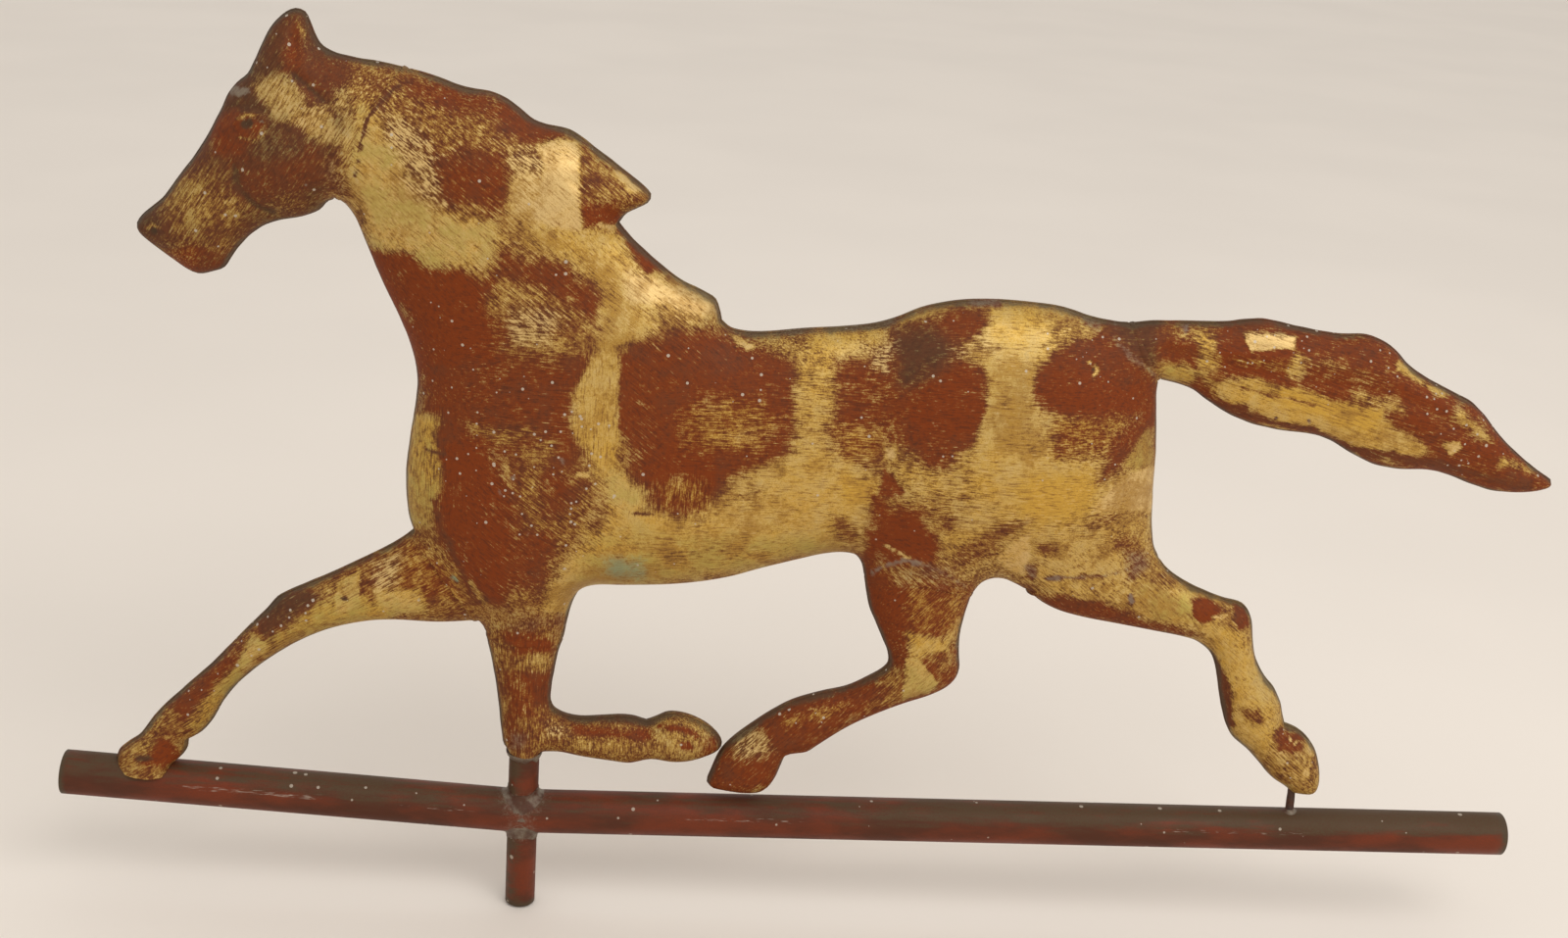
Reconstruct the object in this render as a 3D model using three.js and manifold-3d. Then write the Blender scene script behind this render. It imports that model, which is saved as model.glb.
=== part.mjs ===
// Horse weathervane: a full-bodied running horse of pressed sheet copper, made as soldered half shells,
// standing on a horizontal tube that turns with it on a pivot spindle.
// Millimetres, +Z up, the horse facing -X with its left side at -Y.
// The origin is the middle of the spindle's flat foot, and +Z is the turning axis.
import * as THREE from 'three';
import { mergeVertices } from 'three/addons/utils/BufferGeometryUtils.js';
import Module from 'manifold-3d';

const wasm = await Module();
wasm.setup();

// Driving dimensions of the horse
const horseLength = 808; // toe of the reaching foreleg to the tip of the tail
const horseHeight = 440; // the height that the outline's shares are measured in
const horseSink = 12.7; // depth of the outline's zero line under the top of the tube
const sheetThickness = 0.9;
const seamWidth = 1.6; // space between the two half shells, filled with solder
const jointWidth = 1.6; // space between two neighbouring pressings, filled with solder
const solderProud = 0.4; // how far solder stands out of the sheet
const clearance = 0.3; // gap kept between touching pieces

// Fullness of the pressings: radius of the rolled edge, and the height that the swell tends to
const bodySwell = { roll: 13, crown: 38 };
const headSwell = { roll: 9.5, crown: 30 };
const legSwell = { roll: 7, crown: 22 };
const tailSwell = { roll: 7, crown: 18 };

// Driving dimensions of the tubes, the stay rod and the spindle
const tubeRadius = 12.7;
const tubeWall = 1.6;
const tubeHeight = 61.7; // middle of the tube above the spindle's foot, where the sleeve crosses it
const tubeFrontRise = THREE.MathUtils.degToRad(2.85);
const tubeRearRise = THREE.MathUtils.degToRad(1.24);
const tubeFrontOverhang = 31; // past the toe of the reaching foreleg
const tubeRearOverhang = 132; // past the stay rod
const sleeveRadius = 8.73;
const sleeveWall = 1.6;
const sleeveFoot = 1; // the sleeve's lower end above the spindle's foot
const sleeveReach = 103.3; // its upper end, inside the folded foreleg, above the middle of the tube
const spindleRadius = 6.35;
const spindlePointHeight = 7;
const spindlePointRadius = 1.2;
const plugLength = 14;
const plugCapHeight = 3;
const plugSeatDepth = 5;
const stayRadius = 2.38;
const stayReach = 4; // how far the stay rod goes into the tube
const stayHoofReach = 5; // and into the hoof
const filletReach = 3; // spread of the solder round the sleeve
const filletTip = 0.5; // thickness of a fillet at its thin end
const filletHeight = 4.5;
const kneeFilletReach = 1.6;
const kneeFilletHeight = 5;
const stayFilletReach = 2;
const stayFilletHeight = 2.5;
const cutOverrun = 6; // how far a cutting shape runs past what it cuts

// Fineness of the faceted surfaces
const outlineStep = 12;
const outlineLeast = 4.5;
const outlineFineStep = 0.8;
const outlineTurn = 0.5;
const edgeRow = 3.4; // first row of points inside the edge
const bodyStep = 20;
const headStep = 12;
const legStep = 10;
const tailStep = 13;
const roundSides = 24;
const rodSides = 12;
const reliefFade = 10; // the relief dies away this far from the edge
const neckStations = 12;
const limbStations = 8;
const openingStations = 4;
const cornerShare = 0.6; // the least that an offset is divided by at a corner
const circleSlack = 1e-9; // keeps two equal triangles from being swapped for ever
const rowSlackShare = 0.7;
const fieldEdgeShare = 0.55;
const fieldApartShare = 0.6;

// How far into the body the swell of the piece at each joint reaches
const neckBlend = 42;
const tailBlend = 24;
const thighBlend = 40;
const elbowBlend = 26;
const chestBlend = 15;

// Outline of the horse, clockwise in smooth stretches that meet at corners. Each point is a share of the
// horse's length from the turning axis and a share of its height from the outline's zero line.
const headEdgeShares = [[
  [-0.131, 0.820], [-0.137, 0.815], [-0.142, 0.805], [-0.152, 0.796], [-0.170, 0.788], [-0.180, 0.779],
  [-0.188, 0.767], [-0.195, 0.752], [-0.200, 0.738], [-0.204, 0.727], [-0.210, 0.722], [-0.220, 0.718],
  [-0.226, 0.722], [-0.235, 0.733], [-0.252, 0.756], [-0.257, 0.765], [-0.258, 0.773], [-0.254, 0.785],
  [-0.241, 0.806], [-0.232, 0.829], [-0.216, 0.870], [-0.203, 0.914], [-0.198, 0.934], [-0.192, 0.948],
  [-0.186, 0.958], [-0.181, 0.975], [-0.172, 1.010], [-0.166, 1.024], [-0.160, 1.033], [-0.155, 1.036],
  [-0.150, 1.033], [-0.147, 1.022], [-0.144, 1.008], [-0.140, 0.997], [-0.133, 0.990], [-0.120, 0.985],
  [-0.100, 0.981], [-0.087, 0.977],
]];
const crestEdgeShares = [[
  [-0.087, 0.977], [-0.070, 0.970], [-0.050, 0.959], [-0.034, 0.956], [-0.026, 0.951], [-0.018, 0.942],
  [-0.007, 0.927], [0.001, 0.922], [0.013, 0.919], [0.021, 0.913], [0.035, 0.896], [0.055, 0.870],
  [0.066, 0.855], [0.070, 0.847], [0.069, 0.839], [0.061, 0.830], [0.054, 0.822], [0.050, 0.811],
], [
  [0.050, 0.811], [0.056, 0.798], [0.066, 0.781], [0.080, 0.760], [0.094, 0.743], [0.109, 0.731],
  [0.116, 0.723], [0.119, 0.711], [0.121, 0.697],
], [
  [0.121, 0.697], [0.127, 0.688], [0.138, 0.684], [0.152, 0.685], [0.178, 0.692], [0.202, 0.697],
  [0.224, 0.704], [0.238, 0.713], [0.255, 0.728], [0.278, 0.739], [0.302, 0.743], [0.330, 0.742],
  [0.348, 0.739], [0.366, 0.730], [0.382, 0.725], [0.396, 0.724],
]];
const tailEdgeShares = [[
  [0.396, 0.724], [0.410, 0.728], [0.440, 0.731], [0.460, 0.733], [0.476, 0.738], [0.487, 0.739],
  [0.510, 0.732], [0.538, 0.726], [0.556, 0.727], [0.568, 0.721], [0.579, 0.709], [0.590, 0.691],
  [0.604, 0.676], [0.622, 0.661], [0.637, 0.649], [0.647, 0.635], [0.664, 0.604], [0.684, 0.575],
  [0.700, 0.556], [0.706, 0.549], [0.706, 0.543], [0.698, 0.536], [0.684, 0.532], [0.666, 0.533],
  [0.650, 0.540], [0.630, 0.552], [0.616, 0.556], [0.596, 0.555], [0.580, 0.559], [0.564, 0.570],
  [0.544, 0.589], [0.532, 0.595], [0.508, 0.598], [0.490, 0.604], [0.472, 0.615], [0.456, 0.631],
  [0.444, 0.645], [0.432, 0.652], [0.419, 0.656],
]];
const buttockEdgeShares = [[
  [0.419, 0.656], [0.419, 0.640], [0.421, 0.610], [0.4245, 0.560], [0.427, 0.500], [0.430, 0.455],
  [0.433, 0.432], [0.438, 0.414],
]];
const trailingRearEdgeShares = [[
  [0.438, 0.414], [0.445, 0.400], [0.458, 0.384], [0.474, 0.371], [0.490, 0.361], [0.502, 0.356],
  [0.508, 0.346], [0.512, 0.331], [0.515, 0.305], [0.518, 0.285], [0.522, 0.269], [0.530, 0.249],
  [0.537, 0.235], [0.543, 0.216], [0.546, 0.199], [0.549, 0.184],
], [
  [0.549, 0.184], [0.559, 0.177], [0.567, 0.166], [0.575, 0.148], [0.580, 0.125], [0.583, 0.100],
  [0.582, 0.087], [0.579, 0.081], [0.573, 0.080], [0.5645, 0.0815],
]];
const trailingFrontEdgeShares = [[
  [0.5645, 0.0815], [0.559, 0.090], [0.548, 0.103], [0.537, 0.123], [0.527, 0.142], [0.513, 0.163],
  [0.507, 0.180], [0.502, 0.203], [0.497, 0.233], [0.492, 0.265], [0.488, 0.281], [0.482, 0.292],
  [0.474, 0.301], [0.464, 0.306], [0.440, 0.313], [0.415, 0.320], [0.390, 0.327], [0.372, 0.335],
  [0.360, 0.345], [0.348, 0.361],
]];
const groinEdgeShares = [[
  [0.348, 0.361], [0.338, 0.370], [0.330, 0.3755], [0.322, 0.375], [0.315, 0.368], [0.309, 0.350],
]];
const tuckedEdgeShares = [[
  [0.309, 0.350], [0.306, 0.322], [0.304, 0.290], [0.305, 0.262], [0.3065, 0.243], [0.304, 0.227],
  [0.298, 0.215], [0.287, 0.203], [0.270, 0.190], [0.250, 0.172], [0.234, 0.155], [0.222, 0.139],
  [0.210, 0.121], [0.203, 0.111], [0.195, 0.108], [0.188, 0.104], [0.185, 0.090], [0.181, 0.068],
  [0.177, 0.055], [0.171, 0.047], [0.160, 0.0445], [0.148, 0.0465], [0.137, 0.050],
], [
  [0.137, 0.050], [0.133, 0.057], [0.135, 0.075], [0.141, 0.105], [0.149, 0.124], [0.162, 0.146],
  [0.177, 0.168], [0.190, 0.183], [0.210, 0.197], [0.228, 0.207], [0.243, 0.223], [0.252, 0.235],
  [0.256, 0.246], [0.255, 0.262], [0.251, 0.278], [0.244, 0.305], [0.239, 0.324], [0.236, 0.343],
  [0.233, 0.368],
]];
const bellyEdgeShares = [[
  [0.233, 0.368], [0.230, 0.387], [0.225, 0.398], [0.216, 0.401], [0.203, 0.398], [0.184, 0.388],
  [0.160, 0.374], [0.140, 0.361], [0.120, 0.352], [0.095, 0.345], [0.065, 0.341], [0.045, 0.339],
  [0.036, 0.332], [0.031, 0.318], [0.028, 0.300], [0.024, 0.258],
]];
const foldedRearEdgeShares = [[
  [0.024, 0.258], [0.021, 0.238], [0.0185, 0.210], [0.017, 0.185], [0.017, 0.168], [0.020, 0.156],
  [0.027, 0.148], [0.038, 0.144], [0.052, 0.146], [0.068, 0.149], [0.077, 0.148], [0.086, 0.143],
], [
  [0.086, 0.143], [0.093, 0.149], [0.100, 0.156], [0.107, 0.157], [0.118, 0.153], [0.130, 0.142],
  [0.138, 0.128], [0.141, 0.116], [0.139, 0.107], [0.130, 0.097], [0.118, 0.089], [0.106, 0.087],
  [0.091, 0.090], [0.076, 0.083], [0.062, 0.085], [0.040, 0.090], [0.025, 0.095], [0.010, 0.094],
]];
const foldedFrontEdgeShares = [[
  [-0.010, 0.096], [-0.0145, 0.102], [-0.0165, 0.125], [-0.019, 0.165], [-0.0225, 0.207], [-0.029, 0.262],
]];
const armpitEdgeShares = [[[-0.029, 0.262], [-0.031, 0.272], [-0.035, 0.280]]];
const reachingRearEdgeShares = [[
  [-0.035, 0.280], [-0.062, 0.275], [-0.095, 0.275], [-0.115, 0.270], [-0.140, 0.256], [-0.165, 0.231],
  [-0.190, 0.195], [-0.204, 0.169], [-0.212, 0.148], [-0.221, 0.117], [-0.229, 0.099], [-0.238, 0.088],
], [
  [-0.238, 0.088], [-0.239, 0.072], [-0.243, 0.052], [-0.249, 0.040],
]];
const reachingFrontEdgeShares = [[
  [-0.288, 0.043], [-0.286, 0.056], [-0.279, 0.076], [-0.270, 0.093], [-0.261, 0.117], [-0.254, 0.133],
  [-0.240, 0.160], [-0.220, 0.197], [-0.203, 0.233], [-0.190, 0.260], [-0.182, 0.276], [-0.172, 0.298],
  [-0.158, 0.313], [-0.138, 0.332], [-0.110, 0.361], [-0.090, 0.384], [-0.080, 0.400],
]];
const chestEdgeShares = [[
  [-0.080, 0.400], [-0.0835, 0.425], [-0.085, 0.460], [-0.0845, 0.495], [-0.081, 0.545], [-0.078, 0.595],
  [-0.081, 0.634], [-0.090, 0.678], [-0.101, 0.720], [-0.112, 0.768], [-0.120, 0.802], [-0.126, 0.815],
  [-0.131, 0.820],
]];

// Lines on which neighbouring pressings meet, each from its upper or front end
const neckLineShares = [
  [-0.131, 0.820], [-0.123, 0.843], [-0.117, 0.870], [-0.112, 0.905], [-0.100, 0.942], [-0.087, 0.977],
];
const tailLineShares = [[0.396, 0.724], [0.401, 0.702], [0.408, 0.680], [0.419, 0.656]];
const trailingLineShares = [
  [0.438, 0.414], [0.420, 0.394], [0.402, 0.380], [0.372, 0.370], [0.348, 0.361],
];
const tuckedLineShares = [
  [0.309, 0.350], [0.295, 0.366], [0.275, 0.376], [0.254, 0.374], [0.233, 0.368],
];
const foldedLineShares = [[0.024, 0.258], [-0.002, 0.262], [-0.029, 0.262]];
const reachingLineShares = [
  [-0.035, 0.280], [-0.041, 0.312], [-0.053, 0.345], [-0.065, 0.374], [-0.080, 0.400],
];

// Where along the tube the stay rod leaves it, and where the rod meets the hoof
const stayFootShare = 0.5655;
const stayHeadShare = [0.5645, 0.0815];

// Low swells and hollows of the body: middle, then spread, each along and up, and a share of the crown
const bodyReliefShares = [
  [0.325, 0.560, 0.075, 0.130, 0.13], // haunch
  [0.222, 0.560, 0.028, 0.120, -0.10], // hollow of the flank
  [-0.010, 0.440, 0.060, 0.130, 0.10], // shoulder and chest
  [0.040, 0.730, 0.040, 0.050, -0.06], // hollow before the withers
];
const headReliefShares = [
  [-0.163, 0.860, 0.024, 0.045, 0.15], // jowl
  [-0.187, 0.908, 0.010, 0.018, 0.06], // brow
  [-0.157, 1.005, 0.008, 0.022, -0.12], // hollow of the ear
];

// Colours
const worn = { bole: 0x7a3419, gold: 0xb98a45, solder: 0x6d6a5e, iron: 0x4a4039 };
const finishes = {
  gold: { color: worn.gold, roughness: 0.42, metalness: 0.85 },
  bole: { color: worn.bole, roughness: 0.6, metalness: 0.3 },
  solder: { color: worn.solder, roughness: 0.55, metalness: 0.7 },
  iron: { color: worn.iron, roughness: 0.6, metalness: 0.8 },
};

const horseZero = tubeHeight + tubeRadius - horseSink;
const horse = new THREE.Group();

function atShare([along, high]) {
  return new THREE.Vector2(along * horseLength, horseZero + high * horseHeight);
}

function curveThrough(shares) {
  const points = shares.map(atShare).map((p) => new THREE.Vector3(p.x, p.y, 0));
  return new THREE.CatmullRomCurve3(points, false, 'centripetal');
}

// Points along a smooth stretch, closer together where it turns
function sampleStretch(shares) {
  const curve = curveThrough(shares);
  const fine = curve.getSpacedPoints(Math.ceil(curve.getLength() / outlineFineStep));
  const kept = [fine[0]];
  let run = 0;
  let turn = 0;
  for (let i = 1; i < fine.length - 1; i++) {
    const before = fine[i].clone().sub(fine[i - 1]);
    const after = fine[i + 1].clone().sub(fine[i]);
    run += before.length();
    turn += before.angleTo(after);
    if (run >= outlineStep || (turn >= outlineTurn && run >= outlineLeast)) {
      kept.push(fine[i]);
      run = 0;
      turn = 0;
    }
  }
  if (run < outlineLeast && kept.length > 1) kept.pop();
  kept.push(fine[fine.length - 1]);
  return kept.map((p) => new THREE.Vector2(p.x, p.y));
}

// The stretches of an edge joined into one line
function sampleEdge(stretches) {
  return stretches.map(sampleStretch).reduce((line, next) => [...line, ...next.slice(1)]);
}

// A joint line, with its points closer together near its ends
function sampleJoint(shares, count) {
  const curve = curveThrough(shares);
  const stations = [];
  for (let i = 0; i <= count; i++) {
    const place = (1 - Math.cos((Math.PI * i) / count)) / 2;
    const point = curve.getPointAt(place);
    const along = curve.getTangentAt(place);
    stations.push({
      point: new THREE.Vector2(point.x, point.y),
      along: new THREE.Vector2(along.x, along.y),
      across: new THREE.Vector2(along.y, -along.x), // towards the body
    });
  }
  return stations;
}

const edges = {
  head: sampleEdge(headEdgeShares),
  crest: sampleEdge(crestEdgeShares),
  tail: sampleEdge(tailEdgeShares),
  buttock: sampleEdge(buttockEdgeShares),
  trailing_hindleg_rear: sampleEdge(trailingRearEdgeShares),
  trailing_hindleg_front: sampleEdge(trailingFrontEdgeShares),
  groin: sampleEdge(groinEdgeShares),
  tucked_hindleg: sampleEdge(tuckedEdgeShares),
  belly: sampleEdge(bellyEdgeShares),
  folded_foreleg_rear: sampleEdge(foldedRearEdgeShares),
  folded_foreleg_front: sampleEdge(foldedFrontEdgeShares),
  armpit: sampleEdge(armpitEdgeShares),
  reaching_foreleg_rear: sampleEdge(reachingRearEdgeShares),
  reaching_foreleg_front: sampleEdge(reachingFrontEdgeShares),
  chest: sampleEdge(chestEdgeShares),
};

function makeJoint(shares, stations, swell, blend) {
  return { line: sampleJoint(shares, stations), swell, blend };
}

const joints = {
  neck: makeJoint(neckLineShares, neckStations, headSwell, neckBlend),
  tail: makeJoint(tailLineShares, limbStations, tailSwell, tailBlend),
  trailing_hindleg: makeJoint(trailingLineShares, limbStations, legSwell, thighBlend),
  tucked_hindleg: makeJoint(tuckedLineShares, limbStations, legSwell, thighBlend),
  folded_foreleg: makeJoint(foldedLineShares, limbStations, legSwell, elbowBlend),
  reaching_foreleg: makeJoint(reachingLineShares, limbStations, legSwell, chestBlend),
};

// Smooth distance of a point from the whole outline: zero on it, rounded where two sides are equally near
function edgeDistance(point) {
  let sum = 0;
  for (const line of Object.values(edges)) {
    for (let i = 1; i < line.length; i++) {
      const ax = line[i - 1].x - point.x;
      const ay = line[i - 1].y - point.y;
      const bx = line[i].x - point.x;
      const by = line[i].y - point.y;
      const a = Math.hypot(ax, ay);
      const b = Math.hypot(bx, by);
      const facing = a * b * (a * b + ax * bx + ay * by);
      if (facing <= 0) return 0;
      sum += (line[i].distanceTo(line[i - 1]) * (a + b)) / facing;
    }
  }
  return Math.sqrt(2 / sum);
}

function distanceToLine(point, line) {
  let least = Infinity;
  for (let i = 1; i < line.length; i++) {
    const side = line[i].clone().sub(line[i - 1]);
    const along = point.clone().sub(line[i - 1]).dot(side) / side.lengthSq();
    const foot = line[i - 1].clone().addScaledVector(side, THREE.MathUtils.clamp(along, 0, 1));
    least = Math.min(least, foot.distanceTo(point));
  }
  return least;
}

// Height of a piece's surface over the half shell's rim
function surfaceHeight(piece, point) {
  const distance = edgeDistance(point);
  let { roll, crown } = piece.swell;
  for (const joint of piece.blended) {
    const away = distanceToLine(point, joint.line.map((station) => station.point)) / joint.blend;
    const weight = Math.exp(-away * away);
    roll = THREE.MathUtils.lerp(roll, joint.swell.roll, weight);
    crown = THREE.MathUtils.lerp(crown, joint.swell.crown, weight);
  }
  const raw = Math.sqrt(2 * roll * distance);
  let height = raw / Math.cbrt(1 + (raw / crown) ** 3);
  const fade = 1 - Math.exp(-distance / reliefFade);
  for (const [along, high, spreadAlong, spreadUp, share] of piece.reliefShares) {
    const middle = atShare([along, high]);
    const dx = (point.x - middle.x) / (spreadAlong * horseLength);
    const dz = (point.y - middle.y) / (spreadUp * horseHeight);
    height += share * piece.swell.crown * fade * Math.exp(-dx * dx - dz * dz);
  }
  return height;
}

// An edge with its ends set back from the joints it runs into. Side is 1 on the body and -1 on a limb.
function edgeRun(name, side) {
  const run = edges[name].map((point) => ({ point: point.clone(), height: 0 }));
  for (const end of [run[0], run[run.length - 1]]) {
    for (const { line } of Object.values(joints)) {
      for (const station of [line[0], line[line.length - 1]]) {
        if (station.point.distanceTo(end.point) > outlineFineStep) continue;
        end.out = station.along.clone().multiplyScalar(station === line[0] ? -1 : 1);
        end.point = station.point.clone().addScaledVector(station.across, (side * jointWidth) / 2);
      }
    }
  }
  return run;
}

// The points of a joint between its two ends, set back to one side of its line
function jointRun(name, side) {
  const run = joints[name].line.slice(1, -1).map((station) => ({
    point: station.point.clone().addScaledVector(station.across, (side * jointWidth) / 2),
    flat: station.across,
  }));
  return side > 0 ? run : run.reverse();
}

// The open end of a leg, between two edges, on which the surface stays full
function openingRun(from, to) {
  const start = edges[from][edges[from].length - 1];
  const end = edges[to][0];
  const along = end.clone().sub(start).normalize();
  const flat = new THREE.Vector2(along.y, -along.x);
  const run = [];
  for (let i = 1; i < openingStations; i++) {
    run.push({ point: start.clone().lerp(end, i / openingStations), flat });
  }
  return run;
}

// Joins runs into a closed outline, counter-clockwise
function closeOutline(runs) {
  const outline = [];
  for (const vertex of runs.flat()) {
    const last = outline[outline.length - 1];
    if (last && last.point.distanceTo(vertex.point) < outlineFineStep) continue;
    outline.push(vertex);
  }
  return outline.reverse();
}

// Direction out of a counter-clockwise outline at a point, lengthened at corners
function outwardAt(before, point, after) {
  const first = point.clone().sub(before).normalize();
  const second = after.clone().sub(point).normalize();
  const normal = new THREE.Vector2(first.y + second.y, -first.x - second.x).normalize();
  return normal.divideScalar(Math.max(cornerShare, normal.x * first.y - normal.y * first.x));
}

// Positive where d lies inside the circle through the counter-clockwise triangle a, b, c
function insideCircle(a, b, c, d) {
  const rows = [a, b, c].map((p) => [p.x - d.x, p.y - d.y, (p.x - d.x) ** 2 + (p.y - d.y) ** 2]);
  const [[ax, ay, aq], [bx, by, bq], [cx, cy, cq]] = rows;
  return ax * (by * cq - bq * cy) - ay * (bx * cq - bq * cx) + aq * (bx * cy - by * cx);
}

function turnOf(a, b, c) {
  return (b.x - a.x) * (c.y - a.y) - (b.y - a.y) * (c.x - a.x);
}

// Triangles that fill an outline and use the points inside it, as even as the outline allows
function fillOutline(outline, inside) {
  const points = [...outline, ...inside];
  const opposite = new Map(); // third corner of the triangle on the left of each directed side
  const key = (a, b) => a * points.length + b;
  const add = (a, b, c) => {
    opposite.set(key(a, b), c);
    opposite.set(key(b, c), a);
    opposite.set(key(c, a), b);
  };
  const remove = (a, b, c) => {
    opposite.delete(key(a, b));
    opposite.delete(key(b, c));
    opposite.delete(key(c, a));
  };
  const settle = (queue) => {
    while (queue.length) {
      const [a, b] = queue.pop();
      const c = opposite.get(key(a, b));
      const d = opposite.get(key(b, a));
      if (c === undefined || d === undefined) continue;
      const [pa, pb, pc, pd] = [a, b, c, d].map((corner) => points[corner]);
      if (insideCircle(pa, pb, pc, pd) <= circleSlack) continue;
      if (turnOf(pc, pa, pd) <= 0 || turnOf(pd, pb, pc) <= 0) continue;
      remove(a, b, c);
      remove(b, a, d);
      add(c, a, d);
      add(d, b, c);
      queue.push([a, d], [d, b], [b, c], [c, a]);
    }
  };
  const first = THREE.ShapeUtils.triangulateShape(outline, []);
  for (const [a, b, c] of first) {
    if (turnOf(points[a], points[b], points[c]) > 0) add(a, b, c);
    else add(a, c, b);
  }
  settle(first.flatMap(([a, b, c]) => [[a, b], [b, c], [c, a]]));
  for (let n = outline.length; n < points.length; n++) {
    for (const [side, c] of opposite) {
      const a = Math.floor(side / points.length);
      const b = side % points.length;
      const p = points[n];
      if (turnOf(points[a], points[b], p) <= 0) continue;
      if (turnOf(points[b], points[c], p) <= 0 || turnOf(points[c], points[a], p) <= 0) continue;
      remove(a, b, c);
      add(a, b, n);
      add(b, c, n);
      add(c, a, n);
      settle([[a, b], [b, c], [c, a]]);
      break;
    }
  }
  const faces = [];
  for (const [side, c] of opposite) {
    const a = Math.floor(side / points.length);
    const b = side % points.length;
    if (a < b && a < c) faces.push([a, b, c]);
  }
  return faces;
}

// Points inside an outline: a row along its edge, then an even field
function insidePoints(outline, step) {
  const line = outline.map((vertex) => vertex.point);
  const closed = [...line, line[0]];
  const count = line.length;
  const shape = new THREE.Box2().setFromPoints(line);
  const kept = [];
  const tryPoint = (point, fromEdge, apart) => {
    if (!isInside(point, line) || distanceToLine(point, closed) < fromEdge) return;
    if (kept.some((other) => other.distanceTo(point) < apart)) return;
    kept.push(point);
  };
  outline.forEach((vertex, i) => {
    if (vertex.height !== 0 || vertex.out) return;
    const outward = outwardAt(line[(i + count - 1) % count], line[i], line[(i + 1) % count]).normalize();
    tryPoint(line[i].clone().addScaledVector(outward, -edgeRow), edgeRow * rowSlackShare, edgeRow);
  });
  const rise = step * Math.sin(Math.PI / 3);
  let odd = 0;
  for (let y = shape.min.y; y < shape.max.y; y += rise) {
    odd = 1 - odd;
    for (let x = shape.min.x + (odd * step) / 2; x < shape.max.x; x += step) {
      tryPoint(new THREE.Vector2(x, y), step * fieldEdgeShare, step * fieldApartShare);
    }
  }
  return kept;
}

function isInside(point, line) {
  let inside = false;
  for (let i = 0, j = line.length - 1; i < line.length; j = i++) {
    const a = line[i];
    const b = line[j];
    if (a.y > point.y === b.y > point.y) continue;
    if (point.x < ((b.x - a.x) * (point.y - a.y)) / (b.y - a.y) + a.x) inside = !inside;
  }
  return inside;
}

function geometryFrom(points, faces) {
  const geometry = new THREE.BufferGeometry();
  geometry.setAttribute('position', new THREE.Float32BufferAttribute(points.flatMap((p) => p.toArray()), 3));
  geometry.setIndex(faces.flat());
  return geometry;
}

// One half of a pressing, on the left side: an outer and an inner surface, closed along the rim
function halfShell(piece) {
  const outline = closeOutline(piece.runs);
  const inside = insidePoints(outline, piece.step);
  const flatPoints = [...outline.map((vertex) => vertex.point), ...inside];
  const faces = fillOutline(outline.map((vertex) => vertex.point), inside);
  const outer = flatPoints.map((point, i) => {
    const height = outline[i]?.height ?? surfaceHeight(piece, point);
    return new THREE.Vector3(point.x, -seamWidth / 2 - height, point.y);
  });
  const normals = outer.map(() => new THREE.Vector3());
  for (const [a, b, c] of faces) {
    const normal = outer[b].clone().sub(outer[a]).cross(outer[c].clone().sub(outer[a]));
    for (const corner of [a, b, c]) normals[corner].add(normal);
  }
  const count = outline.length;
  const inner = outer.map((point, i) => {
    const normal = normals[i].normalize();
    if (i < count) {
      const { out, flat } = outline[i];
      if (flat) {
        normal.projectOnPlane(new THREE.Vector3(flat.x, 0, flat.y)).normalize();
      } else {
        const before = flatPoints[(i + count - 1) % count];
        const after = flatPoints[(i + 1) % count];
        const side = out ?? outwardAt(before, flatPoints[i], after);
        normal.set(side.x, 0, side.y);
      }
    }
    return point.clone().addScaledVector(normal, -sheetThickness);
  });
  const total = outer.length;
  const all = [...faces, ...faces.map(([a, b, c]) => [a + total, c + total, b + total])];
  for (let i = 0; i < count; i++) {
    const j = (i + 1) % count;
    all.push([j, i, i + total], [j, i + total, j + total]);
  }
  return geometryFrom([...outer, ...inner], all);
}

function mirrored(geometry) {
  const copy = geometry.clone().scale(1, -1, 1);
  const index = copy.getIndex();
  for (let i = 0; i < index.count; i += 3) {
    const keep = index.getX(i);
    index.setX(i, index.getX(i + 1));
    index.setX(i + 1, keep);
  }
  return copy;
}

// A closed skin over rows of section points, each row joined to the next
function skinRows(rows, closedLoop) {
  const size = rows[0].length;
  const faces = [];
  const last = closedLoop ? rows.length : rows.length - 1;
  for (let i = 0; i < last; i++) {
    const here = i * size;
    const next = ((i + 1) % rows.length) * size;
    for (let k = 0; k < size; k++) {
      const m = (k + 1) % size;
      faces.push([here + k, next + k, next + m], [here + k, next + m, here + m]);
    }
  }
  if (!closedLoop) {
    const end = (rows.length - 1) * size;
    for (let k = 1; k < size - 1; k++) {
      faces.push([0, k, k + 1], [end, end + k + 1, end + k]);
    }
  }
  return geometryFrom(rows.flat(), faces);
}

// Solder along a stretch of the middle seam
function seamBead(run) {
  const half = seamWidth / 2 - clearance;
  const rows = run.map((vertex, i) => {
    const before = run[Math.max(i - 1, 0)].point;
    const after = run[Math.min(i + 1, run.length - 1)].point;
    const out = vertex.out ?? outwardAt(before, vertex.point, after).negate();
    const near = vertex.point.clone().addScaledVector(out, -sheetThickness);
    const far = vertex.point.clone().addScaledVector(out, solderProud);
    return [
      new THREE.Vector3(near.x, half, near.y),
      new THREE.Vector3(near.x, -half, near.y),
      new THREE.Vector3(far.x, -half, far.y),
      new THREE.Vector3(far.x, half, far.y),
    ];
  });
  return skinRows(rows, false);
}

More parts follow.
